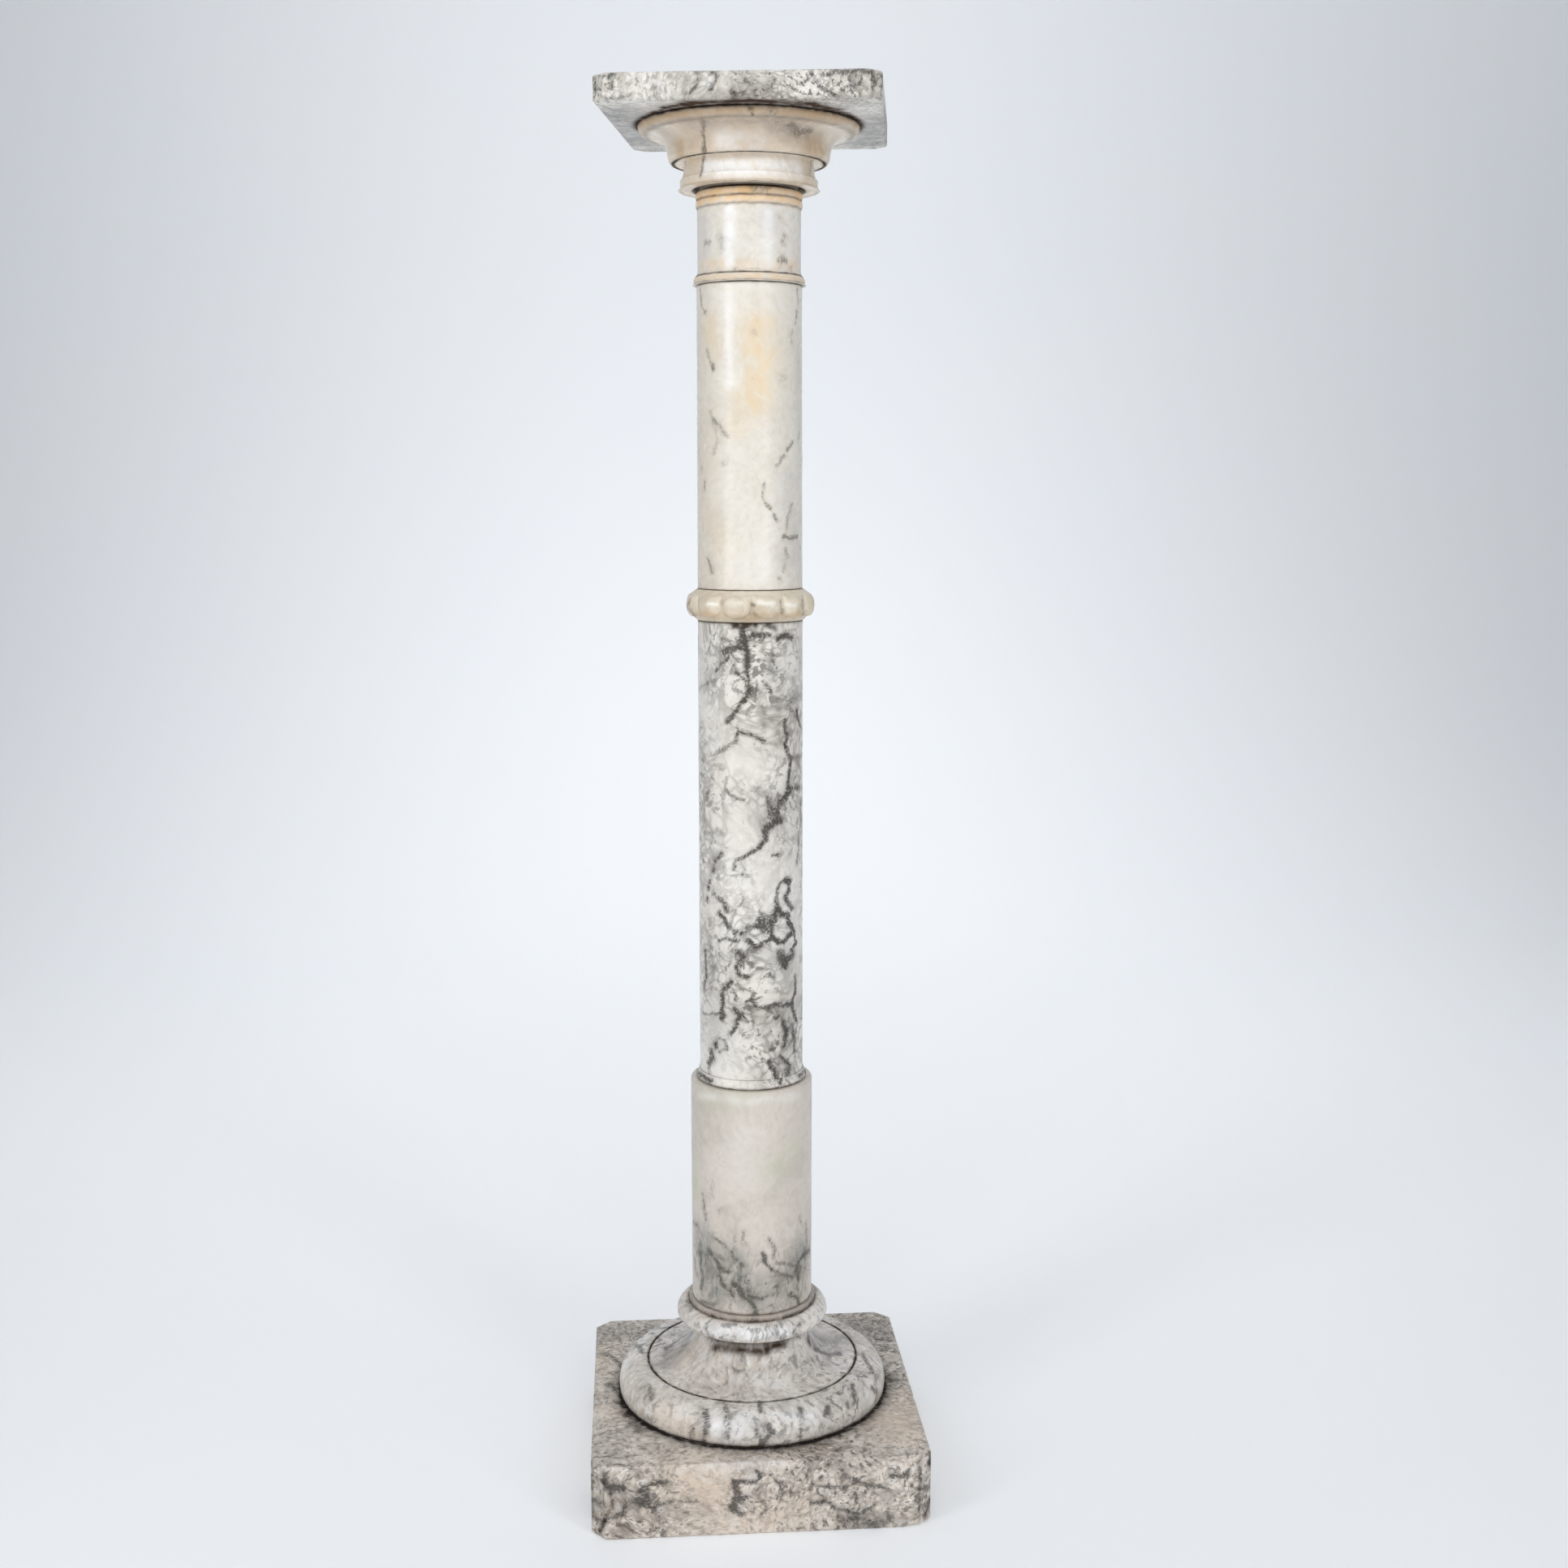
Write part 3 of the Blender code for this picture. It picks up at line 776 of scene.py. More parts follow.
# What is painted on each stone and in which layer. A mark is its width in mm, its strength and its
# line of pixels in the photograph; one pixel alone is a round patch
MARKS = {}
MARKS["top_slab", "vein"] = {
    "left end upright": (2, 0.6, (751, 94), (753, 108)),
    "left end edge": (1.2, 0.55, (742, 94), (741, 120)),
    "left end level": (1.4, 0.45, (742, 93), (757, 92)),
    "left foot": (1.6, 0.4, (745, 120), (760, 122), (778, 117)),
    "small upright": (1.6, 0.4, (806, 108), (808, 120)),
    "middle upright": (1.6, 0.5, (858, 88), (860, 98), (852, 116)),
    "middle slope": (1.5, 0.55, (878, 88), (884, 94), (876, 110)),
    "foot dot": (2, 0.7, (903, 112), (904, 118)),
    "long slope": (1.4, 0.5, (945, 88), (955, 98), (950, 106)),
    "right zigzag": (1.5, 0.6, (985, 104), (995, 98), (1000, 90), (1012, 110), (1028, 116)),
    "right arch": (2, 0.6, (1020, 92), (1040, 88), (1060, 86), (1075, 90), (1078, 104)),
    "right loop": (1.5, 0.5, (1035, 112), (1045, 106), (1058, 104)),
}
MARKS["top_slab", "web"] = {
    "middle": (16, 0.3, (860, 104), (900, 104)),
    "right": (22, 0.95, (940, 104), (1000, 104), (1070, 104)),
}
# The grey on the slab's underside, left and right of the capital, is painted shade
MARKS["top_slab", "stain_and_shade"] = {
    "under, left": (22, 0.9, (765, 140), (790, 175)),
    "under, right": (24, 0.9, (1075, 150), (1060, 175)),
}
# The dark band on the slab's underside round the capital's rim is painted shadow with some grime
MARKS["top_slab", "grime_and_shade"] = {
    "over the rim": (8.5, 0.95, (850, 127), (925, 124), (1000, 128)),
    "over the rim, left": (6.5, 0.9, (822, 132), (850, 128)),
    "over the rim, right": (6.5, 0.9, (1000, 129), (1030, 135)),
    "left end": (3, 0.85, (792, 146), (806, 138), (822, 133)),
    "right end": (3, 0.85, (1030, 135), (1046, 141), (1056, 148)),
}
MARKS["capital", "vein"] = {
    "rim upright": (1.6, 0.8, (923, 124), (924, 132), (926, 142)),
    "rim upright, brown": (3.4, 0.4, (948, 128), (952, 140)),
    "long upright": (1.5, 0.65, (865, 146), (867, 165), (868, 184), (866, 200), (863, 216)),
    "long upright's knot": (3, 0.5, (868, 184)),
    "right patch": (3.4, 0.6, (976, 154), (983, 164), (998, 162)),
    "right patch's cloud": (9, 0.22, (960, 152), (985, 158)),
    "right streak": (2, 0.4, (1000, 196), (998, 214)),
    "right spot": (2.6, 0.45, (1006, 222)),
    "left streak": (1.6, 0.35, (845, 200), (843, 216)),
}
MARKS["capital", "cloud_and_shade"] = {
    # The band under the rim is painted shade
    "under the rim": (6.5, 0.6, (850, 150), (900, 147), (940, 147), (975, 152)),
    "left smear": (6, 0.4, (812, 158), (826, 170)),
    "right": (9, 0.4, (960, 156), (1000, 165)),
    "right shoulder": (5, 0.35, (1010, 168)),
}
MARKS["capital", "pale"] = {
    # The white throat is a painted highlight
    "throat": (8, 1, (872, 206), (900, 206), (950, 206), (980, 207)),
    "bell": (7, 0.5, (890, 172), (930, 174)),
    "left shoulder": (4, 0.5, (800, 162), (812, 168)),
}
MARKS["capital", "stain_and_shade"] = {
    "left shoulder": (9, 0.6, (838, 182), (842, 195)),
    "right shoulder": (9, 0.7, (1000, 180), (1012, 190)),
    "rim at the right": (7, 0.8, (1000, 136), (1030, 145)),
    "bell": (12, 0.25, (920, 172)),
}
MARKS["neck", "vein"] = {
    "left blot": (2.8, 0.42, (869, 299), (874, 299)),
    "second blot": (3, 0.3, (889, 292), (888, 306)),
    "right upper blot": (2, 0.35, (960, 268)),
    "right green streak": (2.2, 0.4, (966, 290), (964, 302)),
    "right lower blot": (2.6, 0.6, (960, 322), (968, 321)),
    "foot blot": (2.6, 0.4, (905, 330)),
    "foot blot, right": (2.4, 0.4, (975, 332)),
    "bead patch": (5, 0.45, (932, 232), (944, 231)),
}
MARKS["neck", "cloud_and_shade"] = {
    "lilac": (7, 0.55, (945, 265), (950, 280)),
    "left": (7, 0.3, (866, 270), (868, 315)),
}
MARKS["neck", "pale"] = {
    # The two upright streaks are painted highlights, as from the two softboxes
    "left streak": (4.5, 0.8, (899, 258), (899, 325)),
    "right streak": (5, 0.6, (948, 262), (948, 322)),
}
MARKS["neck", "stain_and_shade"] = {
    "foot": (5, 0.35, (866, 326), (920, 326), (980, 328)),
}
MARKS["upper_shaft", "vein"] = {
    "left top": (1.3, 0.55, (863, 358), (864, 376), (868, 383)),
    "left top blot": (2, 0.6, (869, 385)),
    "right top": (1.6, 0.55, (982, 358), (984, 372)),
    "right top, lower": (1.7, 0.55, (982, 385), (980, 397)),
    "right thread": (1.4, 0.35, (976, 405), (975, 422)),
    "faint comma": (1.8, 0.28, (929, 407), (932, 410)),
    "left thread": (1.5, 0.4, (871, 432), (875, 444), (879, 456)),
    "left thread's end": (1.8, 0.5, (879, 450), (879, 456)),
    "grey smudge": (4, 0.22, (965, 466)),
    "left slope": (2, 0.45, (874, 507), (879, 518), (887, 527), (898, 537)),
    "left drop": (2, 0.3, (881, 520), (883, 545), (880, 560)),
    "pink blot": (3, 0.28, (891, 572)),
    "left edge blot": (2.4, 0.38, (865, 577)),
    "left edge dash": (1.7, 0.5, (868, 594), (868, 602)),
    "right slope": (2, 0.6, (976, 545), (970, 554)),
    "right slope, lower": (1.8, 0.5, (966, 562), (958, 573)),
    "right edge": (1.6, 0.35, (985, 530), (984, 542)),
    "hanging thread": (1.4, 0.5, (942, 597), (940, 607), (941, 616)),
    "steps": (1.9, 0.7, (944, 621), (950, 627)),
    "steps, lower": (1.9, 0.65, (953, 634), (957, 641)),
    "right trail": (1.7, 0.45, (976, 620), (971, 636), (969, 650)),
    "dark dash": (2.1, 0.85, (966, 661), (974, 662), (982, 662)),
    "under the dash": (1.8, 0.45, (968, 677), (971, 686)),
    "thread under it": (1.8, 0.3, (967, 690), (965, 706)),
    "low dot": (2.2, 0.5, (960, 713)),
    "left foot comma": (2, 0.52, (872, 687), (874, 696), (878, 705)),
}
MARKS["upper_shaft", "stain_and_shade"] = {
    "peach": (15, 0.6, (935, 405), (942, 445), (932, 490)),
    "peach's heart": (8, 0.35, (940, 430), (925, 480)),
    "peach's tail": (9, 0.35, (920, 500), (908, 530)),
    "left gold": (9, 0.4, (872, 400), (880, 430)),
    "middle gold": (6, 0.35, (922, 400), (922, 430)),
    "left rose": (12, 0.25, (872, 640), (890, 670)),
}
MARKS["upper_shaft", "cloud_and_shade"] = {
    # The darker bands along the left and right edges are painted shade
    "right edge": (9, 0.25, (984, 440), (986, 560), (986, 700)),
    "right, lower": (9, 0.4, (972, 590), (975, 690)),
    "left edge": (5, 0.2, (860, 380), (860, 560)),
}
MARKS["upper_shaft", "pale"] = {
    # The left streak is a painted highlight
    "left streak": (5, 0.5, (898, 360), (900, 470)),
    "lower middle": (14, 0.2, (905, 560), (900, 600)),
    "foot": (12, 0.45, (935, 700)),
}
MARKS["carved_collar", "vein"] = {
    "middle notch": (2, 0.7, (926, 744), (929, 745)),
    "middle notch, lower": (2.8, 0.45, (926, 757), (931, 758)),
    "left notch": (2.6, 0.3, (889, 743)),
    "right notch": (1.6, 0.5, (961, 741), (964, 757)),
    "left end": (2.2, 0.55, (850, 738), (847, 748), (857, 760)),
    "right end": (2, 0.4, (988, 735), (990, 757)),
}
# The white dashes on the tongues are painted highlights
MARKS["carved_collar", "pale"] = {
    "left tongues": (1.8, 0.85, (872, 745), (884, 744)),
    "left middle tongue": (1.8, 0.75, (896, 743), (914, 743)),
    "right middle tongue": (1.8, 0.85, (934, 743), (954, 743)),
    "right tongues": (1.8, 0.85, (968, 744), (980, 745)),
}
MARKS["carved_collar", "stain_and_shade"] = {
    "foot": (3, 0.75, (862, 758), (925, 760), (988, 758)),
    "foot, left": (5, 0.6, (868, 756)),
    "foot, right": (5, 0.6, (984, 755)),
}
MARKS["lower_drum", "vein"] = {
    "left tongue": (2.8, 0.45, (866, 1472), (868, 1486), (870, 1501)),
    "left edge": (2.6, 0.5, (853, 1506), (859, 1509)),
    "faint upright": (3, 0.2, (877, 1455), (876, 1475)),
    "faint spot": (3, 0.25, (888, 1491)),
    "fern, top": (2, 0.45, (879, 1524), (888, 1531), (896, 1537)),
    "fern, right": (2.4, 0.4, (917, 1520), (916, 1533)),
    "fern, middle": (1.8, 0.35, (906, 1526), (905, 1538)),
    "left branch": (2.4, 0.65, (873, 1540), (881, 1551), (887, 1562), (897, 1567)),
    "left stem": (2.2, 0.6, (864, 1544), (863, 1560), (866, 1573), (864, 1588)),
    "left rim": (1.9, 0.55, (856, 1549), (857, 1563)),
    "middle stem": (1.9, 0.45, (901, 1541), (905, 1552), (915, 1558), (911, 1572)),
    "lower left": (2.2, 0.6, (886, 1572), (890, 1583), (898, 1590), (904, 1597)),
    "black blot": (2.8, 0.95, (905, 1581), (910, 1587), (914, 1594)),
    "blot's tail": (2.2, 0.8, (916, 1598), (925, 1606), (930, 1613), (932, 1621)),
    "box, left": (1.7, 0.5, (922, 1578), (921, 1590), (923, 1598)),
    "box, foot": (1.7, 0.5, (923, 1598), (936, 1600), (950, 1596), (957, 1592)),
    "box, top": (2, 0.85, (940, 1545), (942, 1553)),
    "right chain": (1.9, 0.65, (942, 1553), (948, 1562), (958, 1568), (968, 1572), (977, 1574)),
    "right comb": (1.9, 0.45, (947, 1528), (956, 1538), (953, 1549)),
    "right level": (1.7, 0.5, (957, 1555), (968, 1557), (978, 1560)),
    "right star": (2.4, 0.85, (997, 1541), (988, 1548), (982, 1558), (981, 1566), (984, 1576)),
    "right star's arm": (2, 0.45, (983, 1561), (992, 1561)),
    "right thread": (1.8, 0.4, (985, 1500), (987, 1509)),
    "right rim": (2.4, 0.4, (993, 1508), (995, 1530)),
    "foot, right": (2.4, 0.7, (973, 1595), (983, 1600), (985, 1607)),
    "foot, left": (2.4, 0.5, (864, 1603), (880, 1608)),
}
MARKS["lower_drum", "cloud_and_shade"] = {
    "foot, left": (16, 0.75, (865, 1530), (880, 1590)),
    "foot, middle": (13, 0.75, (905, 1555), (930, 1600)),
    "foot, right": (14, 0.75, (965, 1590), (990, 1540)),
    # The darker left and right edges are painted shade
    "left edge": (7, 0.6, (850, 1350), (852, 1480), (853, 1600)),
    "right edge": (6, 0.55, (1000, 1350), (1000, 1600)),
}
MARKS["lower_drum", "pale"] = {
    "top": (4, 0.6, (862, 1350), (925, 1358), (985, 1350)),
    "heart": (16, 0.35, (915, 1400), (915, 1450)),
}
MARKS["lower_drum", "web"] = {
    "foot": (26, 1, (868, 1560), (900, 1585), (945, 1590), (985, 1570)),
}
MARKS["lower_drum", "stain_and_shade"] = {
    "green edge": (9, 0.8, (856, 1430), (858, 1470)),
    "green middle": (14, 0.5, (950, 1440), (980, 1420)),
    "top": (8, 0.6, (870, 1352), (900, 1354), (930, 1350)),
}
MARKS["base_moulding", "vein"] = {
    "scotia's dark edge": (2.4, 0.85, (995, 1643), (997, 1655)),
    "scotia's streak": (2.8, 0.7, (1005, 1663), (1018, 1669), (1034, 1668)),
    "scotia, middle": (2.2, 0.35, (905, 1690), (925, 1686)),
    "scotia, left": (3, 0.25, (820, 1660), (822, 1678)),
    "fillet, left": (2.4, 0.45, (846, 1602), (852, 1614)),
    "fillet, left middle": (2.2, 0.4, (870, 1620), (882, 1624)),
    "fillet, middle": (2.2, 0.4, (922, 1628), (934, 1629)),
    "fillet, right middle": (2.2, 0.45, (966, 1624), (984, 1618)),
    "fillet, right": (2.4, 0.45, (997, 1608), (1003, 1598)),
    "ring, right": (2.2, 0.5, (955, 1632), (958, 1644), (964, 1650)),
    "ring, far right": (2, 0.5, (985, 1630), (978, 1642), (986, 1648)),
    "ring, left": (2, 0.45, (868, 1636), (874, 1646), (885, 1652)),
    "torus, first": (2.4, 0.74, (853, 1757), (852, 1774)),
    "torus, second": (2.6, 0.74, (869, 1736), (871, 1755), (867, 1779)),
    "torus, third": (2.6, 0.57, (892, 1728), (896, 1745), (895, 1772)),
    "torus, under the line": (2.2, 0.95, (937, 1728), (937, 1739)),
    "torus, fourth": (2, 0.74, (930, 1762), (936, 1773), (937, 1784)),
    "torus, hook": (2, 0.94, (947, 1757), (951, 1765), (945, 1772), (941, 1780)),
    "torus, fifth": (2, 0.68, (985, 1735), (988, 1755), (986, 1770)),
    "torus, sixth": (2.2, 0.81, (1020, 1734), (1017, 1744)),
    "torus, seventh": (2.2, 0.74, (1050, 1706), (1053, 1717), (1052, 1729)),
    "torus, right edge": (2.4, 0.94, (1074, 1710), (1079, 1716)),
    "torus, right slope": (2.6, 0.61, (1062, 1668), (1072, 1684), (1080, 1700)),
    "torus, left vein": (2.4, 0.54, (800, 1705), (803, 1725)),
}
MARKS["base_moulding", "cloud_and_shade"] = {
    "scotia's grey patch": (13, 0.75, (1003, 1650), (1035, 1650)),
    "scotia, right": (9, 0.35, (985, 1680), (1020, 1685)),
    "scotia, left": (9, 0.3, (820, 1665)),
    "torus, left": (8, 0.2, (786, 1710), (798, 1722)),
    "torus, front": (5, 0.6, (862, 1745), (864, 1772)),
    "torus, middle": (5, 0.5, (925, 1750), (945, 1762)),
    "torus, right": (14, 0.18, (1055, 1690), (1040, 1735)),
}
MARKS["base_moulding", "pale"] = {
    "ring": (6.5, 0.95, (870, 1638), (925, 1644), (970, 1640)),
    "torus, front": (7, 0.95, (882, 1755), (905, 1765), (918, 1745)),
    "torus, left": (6, 0.4, (840, 1738)),
    "torus, right": (6, 0.7, (960, 1745), (1000, 1745)),
    "scotia": (7, 0.4, (930, 1700), (965, 1705)),
}
MARKS["base_moulding", "web"] = {
    "torus, right": (30, 0.95, (1060, 1690), (1050, 1730)),
    "torus, front": (22, 0.55, (900, 1755), (980, 1750)),
    "scotia": (26, 0.55, (1010, 1670), (900, 1690)),
    "ring": (10, 0.8, (870, 1638), (975, 1638)),
}
MARKS["base_moulding", "stain_and_shade"] = {
    "torus, pink": (14, 0.6, (820, 1750), (850, 1765)),
    "scotia, left": (18, 0.4, (850, 1670)),
    "ring": (6, 0.5, (870, 1618), (960, 1622)),
}
MARKS["base_moulding", "grime_and_shade"] = {
    # The dark under the ring is painted shade, and the dark at the left foot painted shadow, both with some
    # grime
    "under the ring": (4, 0.75, (880, 1660), (910, 1664), (940, 1664), (965, 1656)),
    "under the ring, dark": (3, 0.6, (944, 1667), (948, 1660)),
    "left foot": (5, 0.5, (768, 1725), (780, 1745)),
}
MARKS["plinth", "vein"] = {
    "front left, top": (2.6, 0.85, (742, 1824), (750, 1832), (764, 1836)),
    "front left, hook": (2.2, 0.75, (752, 1840), (757, 1830), (770, 1834)),
    "front left, cluster": (4.5, 0.7, (783, 1848), (800, 1852), (796, 1842)),
    "front left, slope": (2.2, 0.75, (788, 1838), (800, 1829), (822, 1827)),
    "front left, foot": (2.4, 0.55, (735, 1872), (748, 1874), (770, 1864)),
    "front left, corner": (4, 0.45, (735, 1850), (745, 1856)),
    "front left, level": (2, 0.45, (800, 1858), (830, 1850), (860, 1850)),
    "front blot, top": (2.8, 0.9, (905, 1828), (908, 1838)),
    "front blot": (3.6, 0.9, (903, 1857), (908, 1846), (917, 1846)),
    "front blot, foot": (3, 0.6, (903, 1860), (914, 1866)),
    "edge fork": (2, 0.75, (905, 1824), (920, 1826), (932, 1825), (940, 1816)),
    "edge dot": (1.8, 0.8, (932, 1812), (935, 1816)),
    "edge dot, right": (1.8, 0.75, (950, 1817)),
    "middle slope": (2, 0.5, (955, 1824), (966, 1838), (962, 1850)),
    "middle pair": (1.8, 0.5, (940, 1850), (944, 1858), (938, 1866)),
    "middle dash": (1.8, 0.5, (972, 1838), (978, 1842)),
    "right dot": (2.2, 0.75, (1012, 1821)),
    "right chain": (2.2, 0.55, (1040, 1817), (1052, 1824), (1066, 1830), (1090, 1832)),
    "right knot": (2.4, 0.75, (1052, 1840), (1056, 1847)),
    "right level": (2, 0.5, (1000, 1830), (1020, 1832), (1044, 1834)),
    "right slope": (2, 0.6, (1000, 1852), (1018, 1850), (1030, 1858), (1060, 1866), (1078, 1854)),
    "right corner": (2.4, 0.75, (1098, 1818), (1112, 1820), (1120, 1812)),
    "right foot": (4.5, 0.5, (1040, 1874), (1060, 1872), (1080, 1880)),
    "top, back left web": (3, 0.45, (742, 1668), (756, 1672), (770, 1690)),
    "top, left": (4, 0.5, (750, 1706), (760, 1712)),
    "top, left foot": (3, 0.55, (768, 1742), (775, 1746)),
    "top, back right dashes": (2.2, 0.65, (1080, 1650), (1100, 1652)),
    "top, right dash": (2, 0.55, (1086, 1664), (1102, 1666)),
    "top, right slope": (2.4, 0.5, (1082, 1690), (1098, 1702), (1110, 1700)),
}
MARKS["plinth", "cloud_and_shade"] = {
    "top, back left": (22, 0.4, (755, 1640), (790, 1645)),
    "top, left": (12, 0.2, (745, 1770), (750, 1795)),
    "top, back right": (20, 0.5, (1040, 1630), (1085, 1640)),
    "front, left": (9, 0.25, (790, 1848)),
    "front, right foot": (10, 0.5, (1040, 1876), (1080, 1878)),
}
MARKS["plinth", "pale"] = {
    "front arris": (4, 0.55, (870, 1806), (960, 1800)),
    "top left": (10, 0.4, (738, 1740)),
    "front, middle": (5, 0.5, (930, 1816), (905, 1872)),
}
MARKS["plinth", "web"] = {
    "front left": (26, 0.8, (750, 1850), (810, 1850)),
    "front middle": (14, 0.7, (910, 1845), (950, 1850)),
    "front right": (34, 0.75, (1040, 1845), (1110, 1840)),
    "top right": (26, 0.65, (1090, 1690), (1060, 1640)),
    "top left": (26, 0.55, (750, 1680)),
}
MARKS["plinth", "stain_and_shade"] = {
    "front": (22, 0.75, (850, 1825), (880, 1835)),
    "front, foot": (16, 0.5, (900, 1875), (980, 1860)),
    "top right": (20, 0.6, (1100, 1750), (1115, 1770)),
    "top left": (18, 0.35, (740, 1740)),
}
MARKS["plinth", "grime_and_shade"] = {
    # The dark beside the torus at the left is painted shadow with some grime
    "beside the torus, left": (8, 0.5, (768, 1730), (790, 1760)),
    "right edge": (2, 0.7, (1146, 1790), (1148, 1840), (1140, 1868)),
    "front left edge": (2, 0.55, (729, 1800), (730, 1870)),
}
